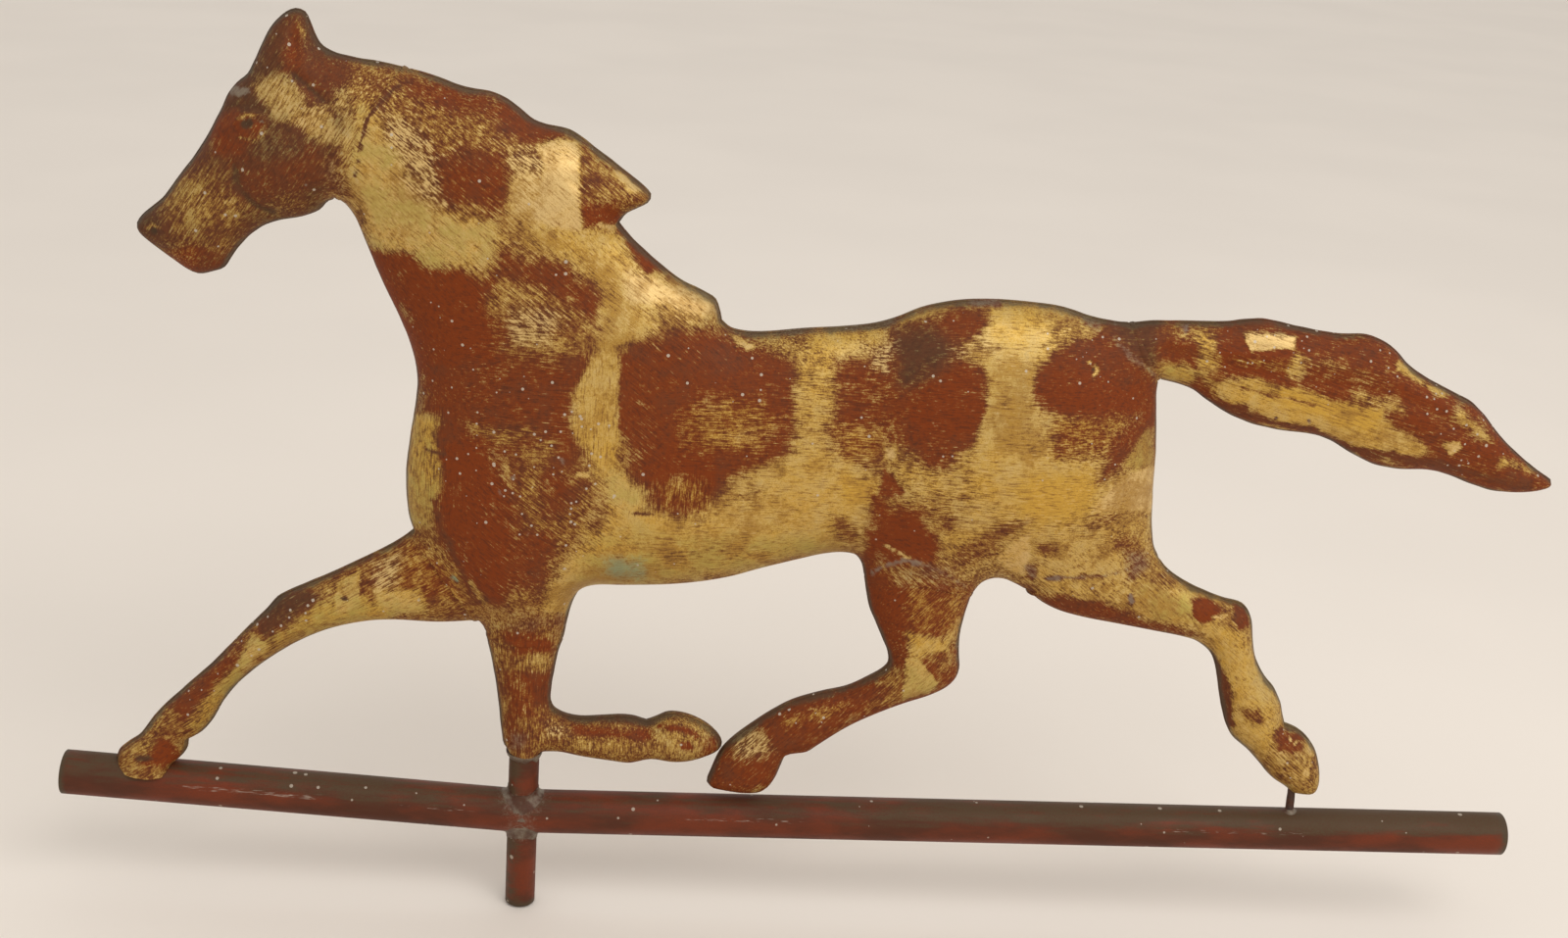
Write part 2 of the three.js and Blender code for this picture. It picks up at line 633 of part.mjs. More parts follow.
// Solder right round a joint between two pressings
function jointBead(piece, joint) {
  const { line } = joint;
  const start = line[0].point;
  const travelled = [0];
  for (let i = 1; i < line.length; i++) {
    travelled.push(travelled[i - 1] + line[i].point.distanceTo(line[i - 1].point));
  }
  const section = [];
  for (const side of [-1, 1]) {
    const order = line.map((station, i) => i);
    if (side > 0) order.reverse();
    for (const i of order) {
      const end = i === 0 || i === line.length - 1;
      const height = seamWidth / 2 + (end ? 0 : surfaceHeight(piece, line[i].point));
      section.push({ station: line[i], flat: new THREE.Vector2(travelled[i], side * height) });
    }
  }
  const count = section.length;
  const half = jointWidth / 2 - clearance;
  const rows = section.map(({ station, flat }, i) => {
    const outward = outwardAt(section[(i + count - 1) % count].flat, flat, section[(i + 1) % count].flat);
    const inner = [[-half, -sheetThickness], [half, -sheetThickness]];
    const corners = [...inner, [half, solderProud], [-half, solderProud]];
    return corners.map(([across, out]) => {
      const place = station.point.clone().addScaledVector(station.across, across);
      place.addScaledVector(station.along, outward.x * out);
      return new THREE.Vector3(place.x, flat.y + outward.y * out, place.y);
    });
  });
  return skinRows(rows, true);
}

function toSolid(geometry) {
  const bare = new THREE.BufferGeometry();
  bare.setAttribute('position', geometry.getAttribute('position').clone());
  if (geometry.getIndex()) bare.setIndex(geometry.getIndex().clone());
  const merged = mergeVertices(bare);
  return new wasm.Manifold(new wasm.Mesh({
    numProp: 3,
    vertProperties: new Float32Array(merged.getAttribute('position').array),
    triVerts: new Uint32Array(merged.getIndex().array),
  }));
}

function fromSolid(solid) {
  const mesh = solid.getMesh();
  const geometry = new THREE.BufferGeometry();
  geometry.setAttribute('position', new THREE.BufferAttribute(mesh.vertProperties, mesh.numProp));
  geometry.setIndex(new THREE.BufferAttribute(mesh.triVerts, 1));
  return geometry;
}

function cut(geometry, ...tools) {
  return fromSolid(tools.reduce((solid, tool) => solid.subtract(toSolid(tool)), toSolid(geometry)));
}

// A round bar between two points, or a cone frustum where the end radius differs
function bar(from, to, radius, endRadius = radius, sides = roundSides) {
  const axis = to.clone().sub(from);
  const geometry = new THREE.CylinderGeometry(endRadius, radius, axis.length(), sides);
  geometry.translate(0, axis.length() / 2, 0);
  const upright = new THREE.Vector3(0, 1, 0);
  geometry.applyQuaternion(new THREE.Quaternion().setFromUnitVectors(upright, axis.normalize()));
  return geometry.translate(from.x, from.y, from.z);
}

// A turned piece from a profile of radii and heights
function turned(profile, sides = roundSides) {
  const geometry = new THREE.LatheGeometry(profile.map(([r, z]) => new THREE.Vector2(r, z)), sides);
  return geometry.rotateX(Math.PI / 2);
}

const onAxis = (z) => new THREE.Vector3(0, 0, z);

// The horizontal tube, bent upwards on both sides of the sleeve
const bend = onAxis(tubeHeight);
const toe = atShare(reachingFrontEdgeShares[0][0]);
const stayX = stayFootShare * horseLength;
const stayFoot = new THREE.Vector3(
  stayX,
  0,
  tubeHeight + stayX * Math.tan(tubeRearRise) + tubeRadius / Math.cos(tubeRearRise),
);
const hoofFoot = atShare(stayHeadShare);
const stayHead = new THREE.Vector3(hoofFoot.x, 0, hoofFoot.y);
const tubeFront = {
  direction: new THREE.Vector3(-Math.cos(tubeFrontRise), 0, Math.sin(tubeFrontRise)),
  reach: tubeFrontOverhang - toe.x,
};
const tubeRear = {
  direction: new THREE.Vector3(Math.cos(tubeRearRise), 0, Math.sin(tubeRearRise)),
  reach: tubeRearOverhang + stayFoot.x,
};

function tubeArm({ direction, reach }, radius, overrun) {
  const lap = radius * Math.tan((tubeFrontRise + tubeRearRise) / 2);
  const start = bend.clone().addScaledVector(direction, -lap);
  const end = bend.clone().addScaledVector(direction, reach + overrun);
  return bar(start, end, radius);
}

function tubeSolid(radius, overrun) {
  const arms = [tubeFront, tubeRear].map((arm) => toSolid(tubeArm(arm, radius, overrun)));
  return fromSolid(arms[0].add(arms[1]));
}

const sleeveTop = tubeHeight + sleeveReach;
const sleeveCutter = bar(
  onAxis(sleeveFoot - cutOverrun),
  onAxis(sleeveTop + cutOverrun),
  sleeveRadius + clearance,
);
const stayAxis = stayHead.clone().sub(stayFoot).normalize();
const stayEnds = [
  stayFoot.clone().addScaledVector(stayAxis, -stayReach),
  stayHead.clone().addScaledVector(stayAxis, stayHoofReach),
];
const stayCutter = bar(
  stayEnds[0].clone().addScaledVector(stayAxis, -cutOverrun),
  stayEnds[1].clone().addScaledVector(stayAxis, clearance),
  stayRadius + clearance,
  stayRadius + clearance,
  rodSides,
);
const tubeCutter = tubeSolid(tubeRadius + clearance, cutOverrun);

function directionTube() {
  const bore = tubeSolid(tubeRadius - tubeWall, cutOverrun);
  return cut(tubeSolid(tubeRadius, 0), bore, sleeveCutter, stayCutter);
}

function sleeveTube() {
  const bore = sleeveRadius - sleeveWall;
  return turned([
    [bore, sleeveFoot],
    [sleeveRadius, sleeveFoot],
    [sleeveRadius, sleeveTop],
    [bore, sleeveTop],
    [bore, sleeveFoot],
  ]);
}

// The plug that closes the sleeve, with a conical seat that the spindle's point fits
const pointSlope = (spindleRadius - spindlePointRadius) / spindlePointHeight;
const seatTop = sleeveTop - plugLength + plugSeatDepth;
const spindleTop = seatTop - clearance * Math.hypot(1, pointSlope) / pointSlope;

function bearingPlug() {
  const radius = sleeveRadius - sleeveWall - clearance;
  const bottom = sleeveTop - plugLength;
  const shoulder = sleeveTop + clearance;
  return turned([
    [0, seatTop],
    [spindlePointRadius, seatTop],
    [spindlePointRadius + pointSlope * plugSeatDepth, bottom],
    [radius, bottom],
    [radius, shoulder],
    [sleeveRadius, shoulder],
    [sleeveRadius, shoulder + plugCapHeight],
    [0, shoulder + plugCapHeight],
  ]);
}

function pivotSpindle() {
  return turned([
    [0, 0],
    [spindleRadius, 0],
    [spindleRadius, spindleTop - spindlePointHeight],
    [spindlePointRadius, spindleTop],
    [0, spindleTop],
  ]);
}

// Solder where the sleeve enters the tube. Side is 1 above the tube and -1 below it.
function sleeveFillet(side) {
  const low = onAxis(tubeHeight + side * filletHeight);
  const high = onAxis(tubeHeight + side * (tubeRadius + filletHeight));
  const radius = sleeveRadius + clearance;
  return cut(bar(low, high, radius + filletReach, radius + filletTip), sleeveCutter, tubeCutter);
}

function kneeFillet() {
  const openingEnds = [edges.folded_foreleg_front[0], edges.folded_foreleg_rear.at(-1)];
  const high = Math.min(...openingEnds.map((point) => point.y)) - solderProud - clearance;
  const radius = sleeveRadius + clearance;
  const low = high - kneeFilletHeight;
  const cone = bar(onAxis(low), onAxis(high), radius + filletTip, radius + kneeFilletReach);
  return cut(cone, sleeveCutter);
}

function stayFillet() {
  const high = stayFoot.clone().addScaledVector(stayAxis, stayFilletHeight);
  const radius = stayRadius + clearance;
  const cone = bar(stayEnds[0], high, radius + stayFilletReach, radius + filletTip, rodSides);
  return cut(cone, stayCutter, tubeCutter);
}

const plain = { blended: [], reliefShares: [] };
const pieces = {
  body: {
    swell: bodySwell,
    step: bodyStep,
    blended: Object.values(joints),
    reliefShares: bodyReliefShares,
    runs: [
      edgeRun('crest', 1), jointRun('tail', 1), edgeRun('buttock', 1), jointRun('trailing_hindleg', 1),
      edgeRun('groin', 1), jointRun('tucked_hindleg', 1), edgeRun('belly', 1), jointRun('folded_foreleg', 1),
      edgeRun('armpit', 1), jointRun('reaching_foreleg', 1), edgeRun('chest', 1), jointRun('neck', 1),
    ],
  },
  head: {
    ...plain, swell: headSwell, step: headStep, reliefShares: headReliefShares,
    runs: [edgeRun('head', -1), jointRun('neck', -1)],
  },
  tail: {
    ...plain, swell: tailSwell, step: tailStep,
    runs: [edgeRun('tail', -1), jointRun('tail', -1)],
  },
  reaching_foreleg: {
    ...plain, swell: legSwell, step: legStep,
    runs: [
      edgeRun('reaching_foreleg_rear', -1), openingRun('reaching_foreleg_rear', 'reaching_foreleg_front'),
      edgeRun('reaching_foreleg_front', -1), jointRun('reaching_foreleg', -1),
    ],
    cutters: [tubeCutter],
  },
  folded_foreleg: {
    ...plain, swell: legSwell, step: legStep,
    runs: [
      edgeRun('folded_foreleg_rear', -1), openingRun('folded_foreleg_rear', 'folded_foreleg_front'),
      edgeRun('folded_foreleg_front', -1), jointRun('folded_foreleg', -1),
    ],
    cutters: [sleeveCutter],
  },
  tucked_hindleg: {
    ...plain, swell: legSwell, step: legStep,
    runs: [edgeRun('tucked_hindleg', -1), jointRun('tucked_hindleg', -1)],
  },
  trailing_hindleg: {
    ...plain, swell: legSwell, step: legStep,
    runs: [
      edgeRun('trailing_hindleg_rear', -1), edgeRun('trailing_hindleg_front', -1),
      jointRun('trailing_hindleg', -1),
    ],
    cutters: [stayCutter],
  },
};

function addNode(name, geometry, finish) {
  const mesh = new THREE.Mesh(geometry, new THREE.MeshStandardMaterial(finish));
  mesh.name = name;
  horse.add(mesh);
}

for (const [name, piece] of Object.entries(pieces)) {
  const left = halfShell(piece);
  const sides = { left, right: mirrored(left) };
  for (const [side, shell] of Object.entries(sides)) {
    addNode(`${name}_${side}_half`, piece.cutters ? cut(shell, ...piece.cutters) : shell, finishes.gold);
  }
}

const bodyEdges = ['crest', 'chest', 'armpit', 'belly', 'groin', 'buttock'];
for (const name of Object.keys(edges)) {
  const bead = seamBead(edgeRun(name, bodyEdges.includes(name) ? 1 : -1));
  const limb = Object.keys(pieces).find((piece) => name.startsWith(piece));
  const cutters = pieces[limb]?.cutters;
  addNode(`${name}_seam_solder`, cutters ? cut(bead, ...cutters) : bead, finishes.solder);
}
for (const [name, joint] of Object.entries(joints)) {
  const piece = name === 'neck' ? pieces.head : pieces[name];
  addNode(`${name}_joint_solder`, jointBead(piece, joint), finishes.solder);
}

addNode('direction_tube', directionTube(), finishes.bole);
addNode('sleeve_tube', sleeveTube(), finishes.bole);
addNode('bearing_plug', bearingPlug(), finishes.iron);
addNode('pivot_spindle', pivotSpindle(), finishes.iron);
addNode('stay_rod', bar(stayEnds[0], stayEnds[1], stayRadius, stayRadius, rodSides), finishes.iron);
addNode('upper_sleeve_fillet', sleeveFillet(1), finishes.solder);
addNode('lower_sleeve_fillet', sleeveFillet(-1), finishes.solder);
addNode('knee_fillet', kneeFillet(), finishes.solder);
addNode('stay_rod_fillet', stayFillet(), finishes.solder);

export default horse;
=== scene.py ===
"""Horse weathervane: worn leaf over red-brown bole on soldered half shells of sheet copper.

Shapes are worked out in millimetres, in the same frame as the part, and become metres in the meshes.
"""

import math

import bmesh
import bpy
import numpy as np
from mathutils import Matrix, Vector, noise
from mathutils.geometry import delaunay_2d_cdt


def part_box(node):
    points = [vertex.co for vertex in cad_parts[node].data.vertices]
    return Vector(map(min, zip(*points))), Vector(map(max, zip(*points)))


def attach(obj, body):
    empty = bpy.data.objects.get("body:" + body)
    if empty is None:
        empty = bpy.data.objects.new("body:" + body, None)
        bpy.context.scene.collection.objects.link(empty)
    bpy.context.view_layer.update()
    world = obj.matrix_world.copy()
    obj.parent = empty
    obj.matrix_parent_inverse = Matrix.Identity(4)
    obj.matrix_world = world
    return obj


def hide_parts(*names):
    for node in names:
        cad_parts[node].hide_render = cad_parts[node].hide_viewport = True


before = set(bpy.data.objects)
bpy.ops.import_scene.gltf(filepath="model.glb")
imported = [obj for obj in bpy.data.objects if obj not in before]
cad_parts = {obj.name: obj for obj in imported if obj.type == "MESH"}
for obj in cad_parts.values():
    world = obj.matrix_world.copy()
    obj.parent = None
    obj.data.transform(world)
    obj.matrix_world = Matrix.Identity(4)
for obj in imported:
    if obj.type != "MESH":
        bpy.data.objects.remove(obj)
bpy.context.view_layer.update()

bl_info = {
    "name": "Horse weathervane",
    "version": (1, 0, 0),
    "blender": (4, 5, 0),
    "location": "3D View > Sidebar > Weathervane",
    "description": "Builds a running horse weathervane in worn leaf over bole around its packed frame",
    "category": "Object",
}

MM = 0.001

# Sizes in millimetres that the horse is worked out from
HORSE_SINK = 12.7
SEAM_WIDTH = 1.6
JOINT_WIDTH = 1.6
CLEARANCE = 0.3
RELIEF_FADE = 10.0
SAME_POINT = 0.25

# Fullness of the pressings: radius of the rolled edge, and the height that the swell tends to
SWELLS = {"body": (13.0, 38.0), "head": (9.5, 30.0), "leg": (7.0, 22.0), "tail": (7.0, 18.0)}

# Fineness of the meshes
EDGE_STEP = 2.4
FINE_STEP = 0.5
FIELD_STEPS = {"body": 2.3, "head": 1.5, "leg": 1.7, "tail": 1.8}
ROW_RISE = 2.1
ROW_COUNTS = {"body": 5, "head": 4, "leg": 4, "tail": 4}
PIPE_SIDES = 96
ROD_SIDES = 32

# Joints: the swell that a limb brings to them, and how far it reaches into the body
JOINT_SWELLS = {
    "neck": ("head", 42), "tail": ("tail", 24), "trailing_hindleg": ("leg", 40),
    "tucked_hindleg": ("leg", 40), "folded_foreleg": ("leg", 26), "reaching_foreleg": ("leg", 15),
}

# The runs that make up each pressing's outline, clockwise
PRESSING_RUNS = {
    "body": (
        "crest edge", "tail joint", "buttock edge", "trailing_hindleg joint", "groin edge",
        "tucked_hindleg joint", "belly edge", "folded_foreleg joint", "armpit edge",
        "reaching_foreleg joint", "chest edge", "neck joint",
    ),
    "head": ("head edge", "neck joint"),
    "tail": ("tail edge", "tail joint"),
    "tucked_hindleg": ("tucked_hindleg edge", "tucked_hindleg joint"),
    "trailing_hindleg": (
        "trailing_hindleg_rear edge", "trailing_hindleg_front edge", "trailing_hindleg joint",
    ),
}
for leg in ("reaching_foreleg", "folded_foreleg"):
    PRESSING_RUNS[leg] = (f"{leg}_rear edge", f"{leg} opening", f"{leg}_front edge", f"{leg} joint")

# Shaping of the meshes
SPLINE_PARTS = 24
THOUSANDTHS = 1000
CHUNK = 600
TINY = 1e-9
CORNER_SHARE = 0.6
ROW_SLACK_SHARE = 0.75
FIELD_EDGE_SHARE = 0.55
SHARP_ANGLE = math.radians(50)
MARK_FADE = 4.0
CREASE_STEP = 3.0
CREASE_REACH = 2.6
BROAD_DENT = 0.55
FINE_DENT = 0.16

# Unevenness: the size of its bumps in millimetres, and a number that sets it apart from the rest
BROAD_DENT_LUMPS = (34, 3)
FINE_DENT_LUMPS = (9, 8)
RAGGED_BROAD_LUMPS = (16, 1)
RAGGED_FINE_LUMPS = (5, 5)
BEAD_LUMPS = (7, 11)
SLEEVE_SOLDER_LUMPS = (5, 17)
KNEE_SOLDER_LUMPS = (5, 23)
STAY_LUMPS = (5, 31)
STAY_SOLDER_LUMPS = (5, 37)

# Solder beads
BEAD_HALF = 1.7
BEAD_RISE = 0.45
BEAD_SEAT = 0.04
BEAD_PARTS = 7
JOINT_BEAD_HALF = 1.9
JOINT_BEAD_RISE = 0.35

# Tubes, stay rod and fillets
TUBE_FRONT_RISE = math.radians(2.85)
TUBE_REAR_RISE = math.radians(1.24)
BEND_REACH = 14.0
BEND_PARTS = 9
PIPE_PARTS = 60
RIM_ROUND = 0.35
SLEEVE_STEP = 4.0
HOOF_CUT_RISE = 7.0
HOOF_SEAT_REACH = 22.0
FILLET_REACH = 3.4
FILLET_RISE = 4.4
FILLET_LEAST = 0.35
FILLET_SEAT = 0.06
FILLET_PARTS = 7
RING_PARTS = 72
KNEE_SOLDER_GAP = 0.5
KNEE_SOLDER_DROP = 4.6
KNEE_SOLDER_REACH = 1.5
STAY_RADIUS = 2.38
STAY_FOOT_SHARE = 565.5
STAY_HEAD_SHARE = (564.5, 81.5)
STAY_TUBE_REACH = 1.2
STAY_HOOF_REACH = 3.0
STAY_PARTS = 16
STAY_ROUGH_SHARE = 0.08
STAY_SOLDER_REACH = 2.2
STAY_SOLDER_RISE = 2.6

# The main view: the eye's place in millimetres, its turn, drop and lean, and the lens
SIGHT_POINT = (66.043, -1012.672, 666.006)
SIGHT_TURN = math.radians(4.054)
SIGHT_DROP = math.radians(20.57)
SIGHT_LEAN = math.radians(-4.539)
LENS = 45
SENSOR_WIDTH = 36
CLIP_START = 0.05
CLIP_END = 60

# Half the floor's width in millimetres, and the lamps in metres
FLOOR_HALF = 12000
KEY_PLACE = (0.9, -1.6, 2.4)
KEY_SIZE = (1.8, 1.2)
FILL_PLACE = (2.6, -1.8, 2.4)
FILL_SIZE = (2.4, 2.4)
LAMP_AIM = (0.15, 0, 0.25)

# Sizes of the marks in the finishes, in metres
GRAIN_SIZE = 0.0007
FLECK_SIZE = 0.0028
CLOUD_SIZE = 0.014
BROAD_SIZE = 0.05
STROKE_SIZE = 0.0008
STROKE_SQUEEZE = 0.1
STROKE_CROSSING = math.radians(38)
LEAF_BUMP = 0.00022
PIPE_BUMP = 0.0002
PIPE_CLOUD_SIZE = 0.02
PAPER_CLOUD_SIZE = 0.4
PAPER_GRAIN_SIZE = 0.01
PAPER_SHADE_SHARE = 0.97
LEAF_METAL_SHARE = 0.55
SPECK_LEAST_SHARE = 0.07
SPECK_SPREAD_SHARE = 0.13

# Which way the brush and the rubbing ran on each pressing, in degrees, and how strongly it shows
BRUSH_TURNS_AND_SHARES = {
    "body": (52, 1.7), "head": (-32, 1.9), "tail": (-105, 1.7), "reaching_foreleg": (-57, 1.6),
    "folded_foreleg": (0, 1.6), "tucked_hindleg": (-40, 1.6), "trailing_hindleg": (50, 1.6),
}

# Reach of the rim's patina and of ragged patch edges
RIM_REACH = 1.8
RAGGED_RISE = 5.0
RAGGED_SHARE = 0.9
CRISP_EDGE = 1.9
CRISP_SHARE = 0.6
SOFT_SHARE = 2.0
SPECK_SPACING = 0.005

# Finish of the direction tube and the sleeve
BORE_DEPTH = 0.5
PATINA_LOW = -0.1
PATINA_HIGH = 0.8
PATINA_SHARES = [(-0.32, 0.62), (-0.10, 0.72), (0.03, 0.42), (0.22, 0.5), (0.42, 0.85), (0.66, 0.95)]
PIPE_SPECK_SPACING = 0.007
PIPE_SPECK_SHARE = 0.3
PIPE_RIM_REACH = 5.0
PIPE_WASH_REACH = 17.0
SLEEVE_WASH_REACH = 4.0
SLEEVE_DARK_SHARE = 0.7
SLEEVE_SHADE_SHARE = 0.7
SCRATCH_SHARES = [(-0.25, -0.13, 0.62), (-0.10, -0.02, 0.4), (0.10, 0.22, 0.48), (0.45, 0.60, 0.4)]
SCRATCH_FADE = 0.02
SCRATCH_RISE = 0.3
SCRATCH_SPREAD = 0.13

# Shares of each finish where nothing is painted, and how the shares are stored
PLAIN_SHARES = {
    "leaf": 0.35, "pale": 0.3, "brick": 0.5, "grime_and_shade": 0.1,
    "olive": 0.3, "solder": 0.0, "green": 0.0, "rim": 0.0,
    "level": 0.0, "upright": 0.0, "speckle": 0.08, "glint": 0.12,
}
PAINT_LAYERS = {
    "leaf_paint": ("leaf", "pale", "brick", "grime_and_shade"),
    "age_paint": ("olive", "solder", "green", "rim"),
    # The glint share sets painted glints: pale dashes of highlight on the leaf.
    "stroke_paint": ("level", "upright", "speckle", "glint"),
}

# Outline of the horse, clockwise in smooth stretches that meet at corners. Lines are given here and below as
# along and up in turn, in thousandths of the horse's length from the turning axis and of its height from the
# outline's zero line.
EDGE_SHARES = {
    "head": [[
        -131, 820, -137, 815, -142, 805, -152, 796, -170, 788, -180, 779, -188, 767, -195, 752, -200, 738,
        -204, 727, -210, 722, -220, 718, -226, 722, -235, 733, -252, 756, -257, 765, -258, 773, -254, 785,
        -241, 806, -232, 829, -216, 870, -203, 914, -198, 934, -192, 948, -186, 958, -181, 975, -172, 1010,
        -166, 1024, -160, 1033, -155, 1036, -150, 1033, -147, 1022, -144, 1008, -140, 997, -133, 990,
        -120, 985, -100, 981, -87, 977,
    ]],
    "crest": [[
        -87, 977, -70, 970, -50, 959, -34, 956, -26, 951, -18, 942, -7, 927, 1, 922, 13, 919, 21, 913,
        35, 896, 55, 870, 66, 855, 70, 847, 69, 839, 61, 830, 54, 822, 50, 811,
    ], [
        50, 811, 56, 798, 66, 781, 80, 760, 94, 743, 109, 731, 116, 723, 119, 711, 121, 697,
    ], [
        121, 697, 127, 688, 138, 684, 152, 685, 178, 692, 202, 697, 224, 704, 238, 713, 255, 728, 278, 739,
        302, 743, 330, 742, 348, 739, 366, 730, 382, 725, 396, 724,
    ]],
    "tail": [[
        396, 724, 410, 728, 440, 731, 460, 733, 476, 738, 487, 739, 510, 732, 538, 726, 556, 727, 568, 721,
        579, 709, 590, 691, 604, 676, 622, 661, 637, 649, 647, 635, 664, 604, 684, 575, 700, 556, 706, 549,
        706, 543, 698, 536, 684, 532, 666, 533, 650, 540, 630, 552, 616, 556, 596, 555, 580, 559, 564, 570,
        544, 589, 532, 595, 508, 598, 490, 604, 472, 615, 456, 631, 444, 645, 432, 652, 419, 656,
    ]],
    "buttock": [[419, 656, 419, 640, 421, 610, 424.5, 560, 427, 500, 430, 455, 433, 432, 438, 414]],
    "trailing_hindleg_rear": [[
        438, 414, 445, 400, 458, 384, 474, 371, 490, 361, 502, 356, 508, 346, 512, 331, 515, 305, 518, 285,
        522, 269, 530, 249, 537, 235, 543, 216, 546, 199, 549, 184,
    ], [
        549, 184, 559, 177, 567, 166, 575, 148, 580, 125, 583, 100, 582, 87, 579, 81, 573, 80, 564.5, 81.5,
    ]],
    "trailing_hindleg_front": [[
        564.5, 81.5, 559, 90, 548, 103, 537, 123, 527, 142, 513, 163, 507, 180, 502, 203, 497, 233, 492, 265,
        488, 281, 482, 292, 474, 301, 464, 306, 440, 313, 415, 320, 390, 327, 372, 335, 360, 345, 348, 361,
    ]],
    "groin": [[348, 361, 338, 370, 330, 375.5, 322, 375, 315, 368, 309, 350]],
    "tucked_hindleg": [[
        309, 350, 306, 322, 304, 290, 305, 262, 306.5, 243, 304, 227, 298, 215, 287, 203, 270, 190, 250, 172,
        234, 155, 222, 139, 210, 121, 203, 111, 195, 108, 188, 104, 185, 90, 181, 68, 177, 55, 171, 47,
        160, 44.5, 148, 46.5, 137, 50,
    ], [
        137, 50, 133, 57, 135, 75, 141, 105, 149, 124, 162, 146, 177, 168, 190, 183, 210, 197, 228, 207,
        243, 223, 252, 235, 256, 246, 255, 262, 251, 278, 244, 305, 239, 324, 236, 343, 233, 368,
    ]],
    "belly": [[
        233, 368, 230, 387, 225, 398, 216, 401, 203, 398, 184, 388, 160, 374, 140, 361, 120, 352, 95, 345,
        65, 341, 45, 339, 36, 332, 31, 318, 28, 300, 24, 258,
    ]],
    "folded_foreleg_rear": [[
        24, 258, 21, 238, 18.5, 210, 17, 185, 17, 168, 20, 156, 27, 148, 38, 144, 52, 146, 68, 149, 77, 148,
        86, 143,
    ], [
        86, 143, 93, 149, 100, 156, 107, 157, 118, 153, 130, 142, 138, 128, 141, 116, 139, 107, 130, 97,
        118, 89, 106, 87, 91, 90, 76, 83, 62, 85, 40, 90, 25, 95, 12.3, 94,
    ]],
    "folded_foreleg_front": [[-12.3, 96, -14.5, 102, -16.5, 125, -19, 165, -22.5, 207, -29, 262]],
    "armpit": [[-29, 262, -31, 272, -35, 280]],
    "reaching_foreleg_rear": [[
        -35, 280, -62, 275, -95, 275, -115, 270, -140, 256, -165, 231, -190, 195, -204, 169, -212, 148,
        -221, 117, -229, 99, -238, 88,
    ], [
        -238, 88, -239, 72, -243, 52, -249, 40,
    ]],
    "reaching_foreleg_front": [[
        -288, 43, -286, 56, -279, 76, -270, 93, -261, 117, -254, 133, -240, 160, -220, 197, -203, 233,
        -190, 260, -182, 276, -172, 298, -158, 313, -138, 332, -110, 361, -90, 384, -80, 400,
    ]],
    "chest": [[
        -80, 400, -83.5, 425, -85, 460, -84.5, 495, -81, 545, -78, 595, -81, 634, -90, 678, -101, 720,
        -112, 768, -120, 802, -126, 815, -131, 820,
    ]],
}

# Lines on which neighbouring pressings meet, each from its upper or front end
JOINT_LINE_SHARES = {
    "neck": [-131, 820, -123, 843, -117, 870, -112, 905, -100, 942, -87, 977],
    "tail": [396, 724, 401, 702, 408, 680, 419, 656],
    "trailing_hindleg": [438, 414, 420, 394, 402, 380, 372, 370, 348, 361],
    "tucked_hindleg": [309, 350, 295, 366, 275, 376, 254, 374, 233, 368],
    "folded_foreleg": [24, 258, -2, 262, -29, 262],
    "reaching_foreleg": [-35, 280, -41, 312, -53, 345, -65, 374, -80, 400],
}

# Low swells and hollows of the pressings: middle, spread, and height as a share of the crown
SWELL_RELIEF_SHARES = {
    "body": [
        (325, 560, 75, 130, 0.13), (222, 560, 28, 120, -0.10),
        (-10, 440, 60, 130, 0.10), (40, 730, 40, 50, -0.06),
    ],
    "head": [(-163, 860, 24, 45, 0.15), (-187, 908, 10, 18, 0.06), (-157, 1005, 8, 22, -0.12)],
}

# Small dimples and bosses: place, then reach along, reach up and rise in millimetres
DIMPLE_SHARES = [
    (-187, 899, 5.5, 4, 1.4), (-187, 900, 2.2, 2, -2), (-249, 767, 3.2, 4.5, -1.6),
    (-157, 1003, 3.2, 9, -1.6), (374.5, 661, 3, 3, -1.2),
]

# Creases and ridges: half width and rise in millimetres, then the line
CREASE_SHARES = [
    (1.2, 1, -196, 899, -190, 911, -181, 912, -174, 902),
    (1.1, 0.7, -192, 889, -184, 884, -175, 892),
    (1.5, -0.9, -199, 915, -188, 922, -176, 915),
    (2.6, -1.2, -158, 962, -149, 948, -139, 932),
    (3, -1.3, -196, 850, -193, 820, -183, 802, -168, 795),
    (1.3, -0.7, -245, 745, -232, 744, -222, 750),
    (1.4, 0.6, -254, 776, -247, 780, -242, 768),
    (2.4, -1.1, -140, 850, -136, 880, -128, 905),
    (2.2, -0.9, 50, 811, 35, 830, 20, 856),
    (2.2, -0.9, 121, 697, 100, 708, 80, 726, 62, 752),
    (3, -1, 240, 535, 243, 505, 256, 480),
    (3.2, -0.9, 420, 690, 480, 672, 540, 662, 600, 640, 655, 590),
    (3, 0.8, 425, 705, 490, 690, 560, 682, 610, 650, 660, 605),
    (2.6, -0.7, 450, 650, 510, 638, 570, 615, 630, 585, 690, 552),
    (1.6, 0.9, 100, 136, 110, 141, 119, 134, 128, 122),
    (1.6, -0.8, 86, 142, 88, 118, 91, 92),
    (1.8, -0.8, -238, 88, -252, 92, -268, 92),
    (1.8, -0.8, 186, 104, 170, 108, 146, 116),
    (1.8, -0.8, 549, 184, 541, 160, 530, 136),
    (2.6, -0.9, 489, 346, 482, 325, 486, 292),
    (2, 0.6, 525, 262, 516, 225, 528, 180),
    (2.2, 0.6, -118, 300, -165, 262, -205, 205),
]

# Steps in the sheet: width of the edge and rise in millimetres, then the outline of the raised area
STEP_SHARES = [
    (2.2, 0.7, 250, 378, 268, 398, 292, 382, 306, 352, 275, 372),
]

